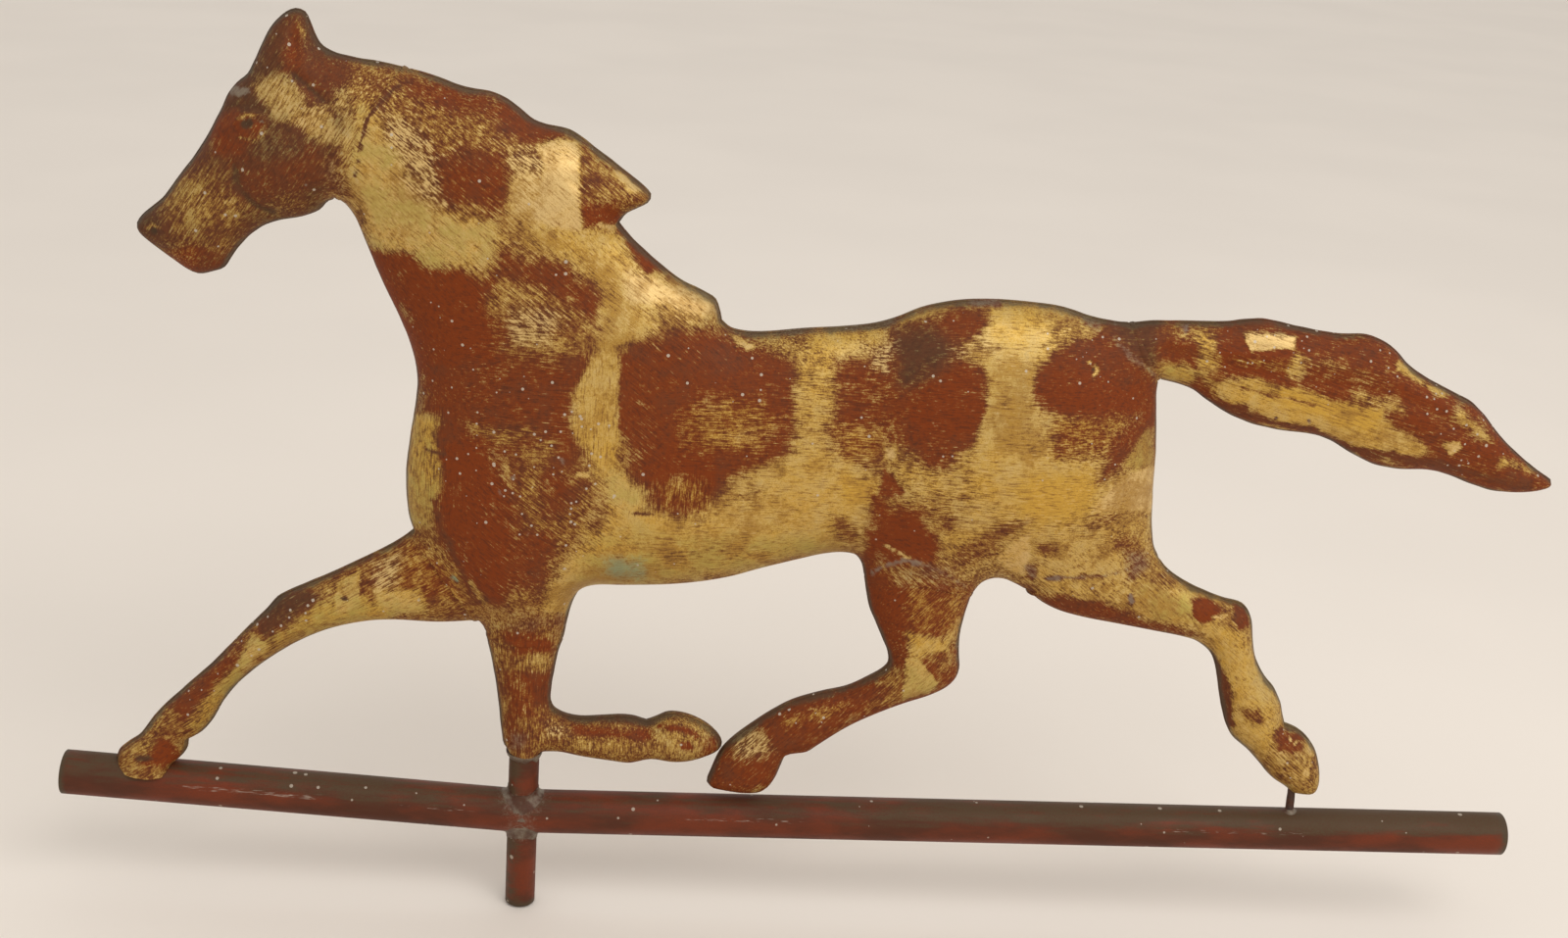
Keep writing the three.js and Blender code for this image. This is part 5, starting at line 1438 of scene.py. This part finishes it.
def stay_solder(horse):
    """The lump of solder at the foot of the stay rod."""
    foot = stay_line(horse)[0]
    rows = []
    for direction, wave in wavy_round(STAY_RADIUS, foot[0], STAY_SOLDER_LUMPS):
        reach = STAY_SOLDER_REACH * (1 + wave / 2)
        profile = []
        for share in np.linspace(0, 1, FILLET_PARTS):
            profile.append((STAY_RADIUS + reach * (1 - share) ** 2, STAY_SOLDER_RISE * share**2))
        profile += [(STAY_RADIUS - CLEARANCE, STAY_SOLDER_RISE), (STAY_RADIUS - CLEARANCE, 0)]
        row = []
        for out, up in profile:
            x, y = direction * out
            crest = math.sqrt(horse.tube_radius**2 - y * y)
            row.append((foot[0] + x, y, float(tube_middle(horse, foot[0] + x)) + crest + up))
        rows.append(row)
    return np.array(rows)


def fit_rows(name, rows, closed, material, slot, *nodes):
    """A piece made of rows of section points, with its faces turned outwards."""
    piece = make_mesh(name, rows.reshape(-1, 3), skin_rows(rows, closed))
    fix_normals(piece)
    return fit(piece, material, slot, *nodes)


class Finish:
    """A material whose nodes are laid out by short calls."""

    def __init__(self, name):
        self.material = bpy.data.materials.new(name)
        self.material.use_nodes = True
        self.tree = self.material.node_tree
        self.shader = self.tree.nodes["Principled BSDF"]
        self.place = self.add("TexCoord").outputs["Object"]

    def add(self, kind, sockets=(), **settings):
        node = self.tree.nodes.new("ShaderNode" + kind)
        for key, value in settings.items():
            setattr(node, key, value)
        for key, value in dict(sockets).items():
            self.put(node.inputs[key], value)
        return node

    def put(self, socket, value):
        if isinstance(value, str):
            value = (*getattr(bpy.context.scene.weathervane_colours, value), 1)
        if isinstance(value, bpy.types.NodeSocket):
            self.tree.links.new(value, socket)
        else:
            socket.default_value = value

    def noise(self, size, detail, rough, stretch=(1, 1, 1), turn=(0, 0, 0)):
        """Smooth noise from 0 to 1 whose features are about this size in metres."""
        place = self.place
        if stretch != (1, 1, 1) or turn != (0, 0, 0):
            turned = self.add("Mapping", {"Vector": place, "Rotation": turn})
            squeezed = self.add("Mapping", {"Vector": turned.outputs[0], "Scale": stretch})
            place = squeezed.outputs[0]
        node = self.add("TexNoise", {
            "Vector": place, "Scale": 1 / size, "Detail": detail, "Roughness": rough
        })
        return node.outputs["Fac"]

    def math(self, kind, first, second, third=0.5):
        node = self.add("Math", {0: first, 1: second, 2: third}, operation=kind)
        return node.outputs[0]

    def wobble(self, value, *waves):
        """A value raised and lowered by noises, each with its own strength."""
        for wave, strength in waves:
            value = self.math("MULTIPLY_ADD", self.math("SUBTRACT", wave, 0.5), strength, value)
        return value

    def strokes(self, turn):
        """Fine streaks of the brush and of rubbing, turned by this much from upright."""
        return self.noise(STROKE_SIZE, 3, 0.65, (1, 1, STROKE_SQUEEZE), (0, turn, 0))

    def between(self, share, first, second):
        """A value this share of the way from the first to the second."""
        return self.math("MULTIPLY_ADD", self.math("SUBTRACT", second, first), share, first)

    def specks(self, skin, spacing, share, strength):
        """A skin with small round chalky specks on it, of which only some are there."""
        cells = self.add("TexVoronoi", {"Vector": self.place, "Scale": 1 / spacing})
        chance = self.add("SeparateColor", {"Color": cells.outputs["Color"]})
        there = self.math("LESS_THAN", chance.outputs[0], share)
        size = self.math("MULTIPLY_ADD", chance.outputs[1], SPECK_SPREAD_SHARE, SPECK_LEAST_SHARE)
        near = self.math("LESS_THAN", cells.outputs["Distance"], size)
        seen = self.math("MULTIPLY", self.math("MULTIPLY", there, near), strength)
        return self.blend(seen, skin, "chalk")

    def ramp(self, value, low, high, start=0, end=1):
        """Value from low to high spread smoothly over start to end."""
        node = self.add("MapRange", {
            "Value": value, "From Min": low, "From Max": high, "To Min": start, "To Max": end
        }, interpolation_type="SMOOTHSTEP")
        return node.outputs["Result"]

    def blend(self, share, first, second):
        node = self.add("Mix", data_type="RGBA")
        self.put(node.inputs["Factor"], share)
        self.put(node.inputs[6], first)
        self.put(node.inputs[7], second)
        return node.outputs[2]

    def veil(self, skin, colour, share, low, high, most=1):
        """A skin with a colour over it, from none where the share is low to the most where it is high."""
        return self.blend(self.ramp(share, low, high, 0, most), skin, colour)

    def layer(self, name):
        """The four painted shares of a layer."""
        layer = self.add("Attribute", attribute_name=name)
        parts = self.add("SeparateColor", {"Color": layer.outputs["Color"]})
        return [*parts.outputs, layer.outputs["Alpha"]]

    def finish(self, **sockets):
        for key, value in sockets.items():
            self.put(self.shader.inputs[key.replace("_", " ")], value)
        return self.material

    def bump(self, height, depth):
        node = self.add("Bump", {"Height": height, "Distance": depth})
        return node.outputs["Normal"]


def worn_leaf(name, pressing):
    """Leaf rubbed through to red-brown bole, with grime and painted shade, painted highlights, solder smears
    and verdigris as painted.
    """
    degrees, stroke_share = BRUSH_TURNS_AND_SHARES[pressing]
    stroke_turn = math.radians(degrees)
    f = Finish(name)
    leaf, pale, brick, grime_and_shade = f.layer("leaf_paint")
    olive, solder, green, rim = f.layer("age_paint")
    level, upright, speckle, glint = f.layer("stroke_paint")
    grain = f.noise(GRAIN_SIZE, 3, 0.65)
    fleck = f.noise(FLECK_SIZE, 4, 0.7)
    cloud = f.noise(CLOUD_SIZE, 4, 0.6)
    broad = f.noise(BROAD_SIZE, 2, 0.5)
    slant = f.strokes(stroke_turn)
    across = f.strokes(stroke_turn + STROKE_CROSSING)
    stroke = f.between(level, slant, across)
    stroke = f.between(upright, stroke, f.strokes(0))
    hold = f.wobble(leaf, (grain, 0.5), (fleck, 0.8), (cloud, 0.9), (stroke, stroke_share))
    cover = f.ramp(hold, 0.18, 0.82)
    # Paler leaf where the pale share is high; in places this is painted highlight on leaf that faces the
    # light.
    gold = f.veil("gold", "pale_gold_and_highlight", f.wobble(pale, (cloud, 1.6), (fleck, 0.8), (grain, 0.8)), 0.05, 0.95)
    gold = f.blend(f.math("MULTIPLY", olive, f.ramp(cloud, 0.3, 0.65)), gold, "olive_gold")
    gold = f.veil(gold, "worn_gold", f.wobble(cloud, (broad, 1.2), (fleck, 0.5)), 0.52, 0.3, 0.5)
    gold = f.veil(gold, "worn_gold", stroke, 0.54, 0.3, 0.7)
    gold = f.veil(gold, "worn_gold", grain, 0.5, 0.3, 0.5)
    bole = f.veil("dull_bole", "bole", f.wobble(brick, (cloud, 1.3), (fleck, 0.6)), 0.1, 0.9)
    bole = f.veil(bole, "dark_bole", f.wobble(stroke, (fleck, 0.6)), 0.54, 0.3, 0.5)
    thin = f.wobble(leaf, (fleck, 1.2), (cloud, 0.8), (stroke, 1.0))
    bole = f.veil(bole, "worn_gold", thin, 0.1, 0.75, 0.55)
    skin = f.blend(cover, bole, gold)
    # Painted glints: pale leaf colour in dashes along the brush strokes, for scratched leaf where it catches
    # the light, so partly real scratches and partly painted highlight.
    shining = f.ramp(f.wobble(glint, (stroke, 3.0), (fleck, 1.0)), 0.5, 0.9, 0, 0.85)
    skin = f.blend(shining, skin, "pale_gold_and_highlight")
    # Grime and painted shade: the grime share darkens the leaf for real grime, and as painted shade in sunk
    # creases, hollows and along the front of the face.
    dirt = f.ramp(f.wobble(grime_and_shade, (cloud, 0.8), (stroke, 0.8)), 0.15, 1.1, 0, 0.85)
    skin = f.blend(dirt, skin, "grime_and_shade")
    skin = f.veil(skin, "rim", f.wobble(rim, (cloud, 1.6), (fleck, 1.0)), 0.25, 1.05, 0.8)
    skin = f.veil(skin, "solder", f.wobble(solder, (fleck, 1.0), (stroke, 1.2)), 0.15, 0.9, 0.7)
    skin = f.veil(skin, "verdigris", f.wobble(green, (fleck, 0.9), (stroke, 0.8)), 0.2, 0.9, 0.75)
    skin = f.specks(skin, SPECK_SPACING, speckle, 0.75)
    shine = f.math("MULTIPLY", f.math("MAXIMUM", cover, shining), f.math("SUBTRACT", 1, dirt))
    height = f.math("MULTIPLY_ADD", cover, 0.4, f.math("MULTIPLY", grain, 0.4))
    height = f.math("MULTIPLY_ADD", stroke, 0.7, height)
    return f.finish(
        Base_Color=skin,
        Metallic=f.math("MULTIPLY", shine, LEAF_METAL_SHARE),
        Roughness=f.math("MULTIPLY_ADD", shine, -0.18, f.ramp(grain, 0.3, 0.7, 0.52, 0.68)),
        Specular_IOR_Level=0.13,
        Normal=f.bump(height, LEAF_BUMP),
    )


def worn_pipe(name):
    """Red-brown paint on copper tube, darker and greenish on top, with scratches and dark rims; on the
    sleeve the same colour is laid down one side as painted shade.
    """
    f = Finish(name)
    top, end, wash, scratch = f.layer("pipe_paint")
    grain = f.noise(GRAIN_SIZE, 4, 0.7)
    fleck = f.noise(FLECK_SIZE, 5, 0.65)
    cloud = f.noise(PIPE_CLOUD_SIZE, 4, 0.6, (0.35, 1, 1))
    streak = f.noise(FLECK_SIZE, 4, 0.6, (0.12, 1, 1))
    skin = f.veil("pipe_red", "pipe_dark", cloud, 0.35, 0.65)
    # Patina along the top of the direction tube; on the sleeve this share carries painted shade down its
    # front side.
    skin = f.veil(skin, "pipe_patina", f.wobble(top, (streak, 1.6), (cloud, 1.2), (grain, 0.5)), 0.2, 0.9)
    skin = f.veil(skin, "pipe_dark", grain, 0.6, 0.35, 0.5)
    skin = f.veil(skin, "rim", f.math("MULTIPLY_ADD", fleck, 0.8, end), 0.8, 1.3)
    skin = f.veil(skin, "solder", f.wobble(wash, (fleck, 1.6), (grain, 1.0)), 0.45, 1.3, 0.5)
    thin = f.noise(GRAIN_SIZE, 3, 0.6, (0.1, 1, 1))
    skin = f.veil(skin, "chalk", f.wobble(scratch, (thin, 2.0)), 0.5, 0.95, 0.6)
    skin = f.specks(skin, PIPE_SPECK_SPACING, PIPE_SPECK_SHARE, 0.6)
    height = f.math("ADD", f.math("MULTIPLY", grain, 0.6), f.math("MULTIPLY", streak, 0.5))
    return f.finish(
        Base_Color=skin,
        Metallic=0.1,
        Specular_IOR_Level=0.2,
        Roughness=f.ramp(cloud, 0.3, 0.7, 0.42, 0.62),
        Normal=f.bump(height, PIPE_BUMP),
    )


def stained_metal(name, colours, stain_high, dirt_most, metallic, roughness):
    """Bare metal with clouds of stain on it and dirt in its grain."""
    metal, stain, dirt = colours
    f = Finish(name)
    grain = f.noise(GRAIN_SIZE, 4, 0.7)
    cloud = f.noise(CLOUD_SIZE, 4, 0.6)
    skin = f.veil(metal, stain, cloud, 0.4, stain_high)
    skin = f.veil(skin, dirt, grain, 0.6, 0.35, dirt_most)
    return f.finish(
        Base_Color=skin,
        Metallic=metallic,
        Roughness=f.ramp(grain, 0.3, 0.7, *roughness),
        Normal=f.bump(grain, PIPE_BUMP),
    )


def dark_iron(name):
    """Rusted iron, of the spindle, its plug and the stay rod."""
    return stained_metal(name, ("iron", "rust", "dark_bole"), 0.6, 0.6, 0.5, (0.45, 0.7))


def dull_solder(name):
    """Grey solder, run thin and stained brown."""
    return stained_metal(name, ("solder", "pipe_dark", "rim"), 0.62, 0.5, 0.4, (0.4, 0.6))


def studio_paper(name, colour):
    """Matt pale paper of the studio floor, with the faintest mottling."""
    f = Finish(name)
    cloud = f.noise(PAPER_CLOUD_SIZE, 2, 0.5)
    fine = f.noise(PAPER_GRAIN_SIZE, 2, 0.5)
    shade = tuple(part * PAPER_SHADE_SHARE for part in colour)
    skin = f.veil((*colour, 1), (*shade, 1), cloud, 0.3, 0.7)
    return f.finish(Base_Color=skin, Roughness=f.ramp(fine, 0.3, 0.7, 0.75, 0.85))


def length_value(name, description, default):
    return bpy.props.FloatProperty(name=name, description=description, default=default, min=0,
                                   unit="LENGTH", subtype="DISTANCE", precision=4)


def power_value(name, description, default, unit="NONE"):
    return bpy.props.FloatProperty(name=name, description=description, default=default, min=0, unit=unit)


def colour_value(name, description, default):
    return bpy.props.FloatVectorProperty(name=name, description=description, default=default, size=3,
                                         min=0, max=1, subtype="COLOR")


class WeathervaneSizes(bpy.types.PropertyGroup):
    """Sizes that the pieces are worked out from"""

    horse_length: length_value("Horse length", "Length that the outline's shares are measured in", 0.808)
    horse_height: length_value("Outline height", "Height that the outline's shares are measured in", 0.44)
    sheet_thickness: length_value("Sheet", "Thickness of the sheet copper", 0.0009)
    tube_radius: length_value("Tube radius", "Outer radius of the direction tube", 0.0127)
    tube_wall: length_value("Tube wall", "Wall of both tubes", 0.0016)
    tube_height: length_value("Tube height", "Middle of the direction tube above the spindle's foot", 0.0617)
    sleeve_radius: length_value(
        "Sleeve radius", "Outer radius of the upright sleeve",
        round((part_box("sleeve_tube")[1].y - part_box("sleeve_tube")[0].y) / 2, 5),
    )


class WeathervaneColours(bpy.types.PropertyGroup):
    """Colours of the leaf, the bole under it, the solder and the tubes"""

    gold: colour_value("Leaf", "Sound leaf", (0.60, 0.350, 0.058))
    # The pale leaf colour is also laid as painted highlight.
    pale_gold_and_highlight: colour_value("Pale leaf", "Leaf that was laid twice or rubbed bright", (0.69, 0.475, 0.195))
    olive_gold: colour_value("Olive leaf", "Leaf that has dulled to olive", (0.46, 0.345, 0.078))
    worn_gold: colour_value("Worn leaf", "Thin leaf through which the bole shows", (0.31, 0.155, 0.038))
    bole: colour_value("Bole", "Bare red bole", (0.195, 0.036, 0.005))
    dull_bole: colour_value("Dull bole", "Bole browned by handling", (0.140, 0.042, 0.015))
    dark_bole: colour_value("Dark bole", "Dirt in the grain of the bole", (0.045, 0.016, 0.009))
    # The grime colour stands for real grime, and also for painted shade in creases, hollows and along edges
    # that turn away from the light.
    grime_and_shade: colour_value("Grime", "Dark grime in hollows and along folds", (0.055, 0.035, 0.018))
    rim: colour_value("Rim", "Grey-brown patina along the seams", (0.080, 0.052, 0.028))
    solder: colour_value("Solder", "Smeared grey solder", (0.25, 0.20, 0.145))
    verdigris: colour_value("Verdigris", "Blue-green bloom of the copper", (0.22, 0.33, 0.21))
    pipe_red: colour_value("Tube paint", "Red-brown paint of the tubes", (0.180, 0.034, 0.011))
    pipe_dark: colour_value("Dark tube paint", "Darkened paint of the tubes", (0.085, 0.026, 0.012))
    # The tube patina colour is also laid as painted shade down one side of the sleeve.
    pipe_patina: colour_value("Tube patina", "Greenish-brown patina of the tubes", (0.085, 0.052, 0.025))
    chalk: colour_value("Scratches", "Pale scratches in the tube's paint", (0.56, 0.48, 0.38))
    iron: colour_value("Iron", "Dark iron of the spindle and the stay rod", (0.070, 0.055, 0.045))
    rust: colour_value("Rust", "Rust on the iron", (0.11, 0.042, 0.020))


class WeathervaneStage(bpy.types.PropertyGroup):
    """Floor and lights of the studio"""

    paper: colour_value("Paper", "Colour of the floor", (0.90, 0.815, 0.725))
    sky: colour_value("Room light", "Colour of the light from all round", (1, 0.985, 0.96))
    sky_strength: power_value("Room light strength", "Strength of the light from all round", 0.73)
    key_power: power_value("Key light", "Power of the large light above the front", 17.5, "POWER")
    fill_power: power_value("Fill light", "Power of the light at the right", 26.0, "POWER")


class WEATHERVANE_OT_body(bpy.types.Operator):
    """Press the two halves of the body and neck"""

    bl_idname = "weathervane.body"
    bl_label = "Body"

    def execute(self, context):
        press_pair(Horse(context), "body")
        return {"FINISHED"}


class WEATHERVANE_OT_head(bpy.types.Operator):
    """Press the two halves of the head"""

    bl_idname = "weathervane.head"
    bl_label = "Head"

    def execute(self, context):
        press_pair(Horse(context), "head")
        return {"FINISHED"}


class WEATHERVANE_OT_tail(bpy.types.Operator):
    """Press the two halves of the tail"""

    bl_idname = "weathervane.tail"
    bl_label = "Tail"

    def execute(self, context):
        press_pair(Horse(context), "tail")
        return {"FINISHED"}


class WEATHERVANE_OT_legs(bpy.types.Operator):
    """Press the two halves of each of the four legs"""

    bl_idname = "weathervane.legs"
    bl_label = "Legs"

    def execute(self, context):
        horse = Horse(context)
        for name in BRUSH_TURNS_AND_SHARES:
            if name.endswith("leg"):
                press_pair(horse, name)
        return {"FINISHED"}


class WEATHERVANE_OT_seams(bpy.types.Operator):
    """Run solder along the seam between the left and right halves"""

    bl_idname = "weathervane.seams"
    bl_label = "Seam solder"

    def execute(self, context):
        horse = Horse(context)
        material = worn_leaf("seam solder under leaf", "body")
        for name in horse.edges:
            rows = seam_bead(horse, name, 1 if f"{name} edge" in PRESSING_RUNS["body"] else -1)
            solder_piece(horse, f"{name}_seam_line", rows, False, material, f"{name}_seam_solder")
        return {"FINISHED"}


class WEATHERVANE_OT_joints(bpy.types.Operator):
    """Run solder round the joints where head, tail and legs meet the body"""

    bl_idname = "weathervane.joints"
    bl_label = "Joint solder"

    def execute(self, context):
        horse = Horse(context)
        material = worn_leaf("joint solder under leaf", "body")
        for name in horse.joints:
            rows = joint_bead(horse, name)
            solder_piece(horse, f"{name}_joint_line", rows, True, material, f"{name}_joint_solder")
        return {"FINISHED"}


class WEATHERVANE_OT_direction_tube(bpy.types.Operator):
    """Make the bent horizontal tube that the horse runs on"""

    bl_idname = "weathervane.direction_tube"
    bl_label = "Direction tube"

    def execute(self, context):
        horse = Horse(context)
        rows = direction_pipe(horse)
        material = worn_pipe("direction tube paint")
        piece = fit_rows("direction_pipe", rows, True, material, "bole_over_copper", "direction_tube")
        cut_for_sleeve(horse, piece)
        paint_pipe(horse, piece)
        return {"FINISHED"}


class WEATHERVANE_OT_sleeve(bpy.types.Operator):
    """Make the upright sleeve that turns on the spindle"""

    bl_idname = "weathervane.sleeve"
    bl_label = "Sleeve"

    def execute(self, context):
        horse = Horse(context)
        low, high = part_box("sleeve_tube")
        rows = upright_pipe(low.z / MM, high.z / MM, horse.sleeve_radius, horse.tube_wall)
        material = worn_pipe("sleeve paint")
        piece = fit_rows("sleeve_pipe", rows, True, material, "bole_over_copper", "sleeve_tube")
        paint_sleeve(horse, piece)
        return {"FINISHED"}


class WEATHERVANE_OT_stay(bpy.types.Operator):
    """Make the stay rod that holds up the trailing hoof"""

    bl_idname = "weathervane.stay"
    bl_label = "Stay rod"

    def execute(self, context):
        horse = Horse(context)
        fit_rows("stay_peg", stay_peg(horse), False, dark_iron("stay rod iron"), "iron", "stay_rod")
        return {"FINISHED"}


class WEATHERVANE_OT_fillets(bpy.types.Operator):
    """Run solder round the sleeve and the foot of the stay rod"""

    bl_idname = "weathervane.fillets"
    bl_label = "Solder fillets"

    def execute(self, context):
        horse = Horse(context)
        material = dull_solder("fillet solder")
        for side, turn in (("upper", 1), ("lower", -1)):
            rows = sleeve_solder(horse, turn)
            fit_rows(f"{side}_sleeve_ring", rows, True, material, "solder", f"{side}_sleeve_fillet")
        fit_rows("knee_ring", knee_solder(horse), True, material, "solder", "knee_fillet")
        fit_rows("stay_foot_ring", stay_solder(horse), True, material, "solder", "stay_rod_fillet")
        return {"FINISHED"}


class WEATHERVANE_OT_spindle(bpy.types.Operator):
    """Give the spindle and the plug of the sleeve their iron"""

    bl_idname = "weathervane.spindle"
    bl_label = "Spindle and plug"

    def execute(self, context):
        material = dark_iron("spindle iron")
        for name in ("pivot_spindle", "bearing_plug"):
            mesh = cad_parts[name].data
            mesh.materials.clear()
            mesh.materials.append(material)
        return {"FINISHED"}


class WEATHERVANE_OT_stage(bpy.types.Operator):
    """Lay the pale floor, and set the lights and the camera"""

    bl_idname = "weathervane.stage"
    bl_label = "Stage"

    def execute(self, context):
        values = context.scene.weathervane_stage
        lay_floor(values)
        light_room(context.scene, values)
        add_lamp("key light", KEY_PLACE, KEY_SIZE, values.key_power)
        add_lamp("fill light", FILL_PLACE, FILL_SIZE, values.fill_power)
        place_camera(context.scene)
        context.scene.view_settings.view_transform = "Standard"
        return {"FINISHED"}


def lay_floor(values):
    corners = [(x * FLOOR_HALF, y * FLOOR_HALF, 0) for x, y in ((-1, -1), (1, -1), (1, 1), (-1, 1))]
    floor = make_mesh("floor", corners, [(0, 1, 2, 3)])
    floor.data.materials.append(studio_paper("floor paper", tuple(values.paper)))


def light_room(scene, values):
    world = bpy.data.worlds.new("studio room")
    world.use_nodes = True
    background = world.node_tree.nodes["Background"]
    background.inputs["Color"].default_value = (*values.sky, 1)
    background.inputs["Strength"].default_value = values.sky_strength
    scene.world = world


def add_lamp(name, place, size, power):
    data = bpy.data.lights.new(name, "AREA")
    data.shape = "RECTANGLE"
    data.size, data.size_y = size
    data.energy = power
    lamp = bpy.data.objects.new(name, data)
    lamp.location = place
    lamp.rotation_mode = "QUATERNION"
    lamp.rotation_quaternion = (Vector(place) - Vector(LAMP_AIM)).to_track_quat("Z", "Y")
    bpy.context.scene.collection.objects.link(lamp)


def place_camera(scene):
    """The camera of the main view, which leans a little to one side."""
    level = Vector((math.cos(SIGHT_TURN), -math.sin(SIGHT_TURN), 0))
    forward = Vector((math.sin(SIGHT_TURN), math.cos(SIGHT_TURN), 0)) * math.cos(SIGHT_DROP)
    forward.z = -math.sin(SIGHT_DROP)
    drop = forward.cross(level)
    right = level * math.cos(SIGHT_LEAN) + drop * math.sin(SIGHT_LEAN)
    down = drop * math.cos(SIGHT_LEAN) - level * math.sin(SIGHT_LEAN)
    data = bpy.data.cameras.new("main view")
    data.sensor_width = SENSOR_WIDTH
    data.lens = LENS
    data.clip_start = CLIP_START
    data.clip_end = CLIP_END
    camera = bpy.data.objects.new("main view", data)
    camera.matrix_world = Matrix((right, -down, -forward)).transposed().to_4x4()
    camera.location = Vector(SIGHT_POINT) * MM
    scene.collection.objects.link(camera)
    scene.camera = camera


def paint_pipe(horse, piece):
    """Patina along the top of the direction tube, dark ends and the wash of solder round the sleeve."""
    x, y, z = np.array([vertex.co for vertex in piece.data.vertices]).T / MM
    rise = z - tube_middle(horse, x)
    up = rise / horse.tube_radius
    along = x / horse.length
    ends = np.minimum(x - x.min(), x.max() - x)
    bore = smooth_step((horse.tube_radius - BORE_DEPTH - np.hypot(y, rise)) / BORE_DEPTH + 1)
    reach = np.interp(along, *zip(*PATINA_SHARES))
    top = smooth_step((up - PATINA_LOW) / (PATINA_HIGH - PATINA_LOW)) * reach
    rim = np.exp(-(ends / PIPE_RIM_REACH) ** 2)
    wash = np.exp(-(np.hypot(x, y) / PIPE_WASH_REACH) ** 4)
    scratch = np.zeros(len(x))
    for start, end, share in SCRATCH_SHARES:
        inside = smooth_step((along - start) / SCRATCH_FADE) * smooth_step((end - along) / SCRATCH_FADE)
        scratch = np.maximum(scratch, share * inside * np.exp(-((up - SCRATCH_RISE) / SCRATCH_SPREAD) ** 2))
    store_layer(piece.data, "pipe_paint", (np.maximum(top * (1 - bore), bore), rim, wash, scratch))


def paint_sleeve(horse, piece):
    """The sleeve's shaded side, dark lower end and the wash of solder at the direction tube."""
    x, _, z = np.array([vertex.co for vertex in piece.data.vertices]).T / MM
    # Painted shade: darker towards the front, the side away from the key light.
    dark = smooth_step(0.5 - x / np.abs(x).max() * SLEEVE_SHADE_SHARE)
    rim = np.exp(-((z - z.min()) / PIPE_RIM_REACH) ** 2)
    joint = np.minimum(np.abs(z - horse.tube_height), horse.tube_radius + PIPE_WASH_REACH)
    wash = np.exp(-((joint - horse.tube_radius) / SLEEVE_WASH_REACH) ** 2)
    store_layer(piece.data, "pipe_paint", (dark * SLEEVE_DARK_SHARE, rim, wash, np.zeros_like(x)))


def store_layer(mesh, name, shares):
    layer = mesh.attributes.new(name, "FLOAT_COLOR", "POINT")
    layer.data.foreach_set("color", np.stack(shares, axis=1).astype(np.float32).ravel())


OPERATORS = (
    WEATHERVANE_OT_body,
    WEATHERVANE_OT_head,
    WEATHERVANE_OT_tail,
    WEATHERVANE_OT_legs,
    WEATHERVANE_OT_seams,
    WEATHERVANE_OT_joints,
    WEATHERVANE_OT_direction_tube,
    WEATHERVANE_OT_sleeve,
    WEATHERVANE_OT_stay,
    WEATHERVANE_OT_fillets,
    WEATHERVANE_OT_spindle,
    WEATHERVANE_OT_stage,
)


class WEATHERVANE_PT_panel(bpy.types.Panel):
    """Sizes, colours and steps of the weathervane"""

    bl_label = "Horse weathervane"
    bl_idname = "WEATHERVANE_PT_panel"
    bl_space_type = "VIEW_3D"
    bl_region_type = "UI"
    bl_category = "Weathervane"

    def draw(self, context):
        for group in ("weathervane_sizes", "weathervane_colours", "weathervane_stage"):
            box = self.layout.box()
            values = getattr(context.scene, group)
            for key in values.__annotations__:
                box.prop(values, key)
        for operator in OPERATORS:
            self.layout.operator(operator.bl_idname)


GROUPS = {
    "weathervane_sizes": WeathervaneSizes,
    "weathervane_colours": WeathervaneColours,
    "weathervane_stage": WeathervaneStage,
}


def register():
    for kind in (*GROUPS.values(), *OPERATORS, WEATHERVANE_PT_panel):
        bpy.utils.register_class(kind)
    for name, group in GROUPS.items():
        setattr(bpy.types.Scene, name, bpy.props.PointerProperty(type=group))


def unregister():
    for name in GROUPS:
        delattr(bpy.types.Scene, name)
    for kind in reversed((*GROUPS.values(), *OPERATORS, WEATHERVANE_PT_panel)):
        bpy.utils.unregister_class(kind)


def main():
    register()
    for operator in OPERATORS:
        getattr(bpy.ops.weathervane, operator.bl_idname.split(".")[1])()


if __name__ == "__main__":
    main()
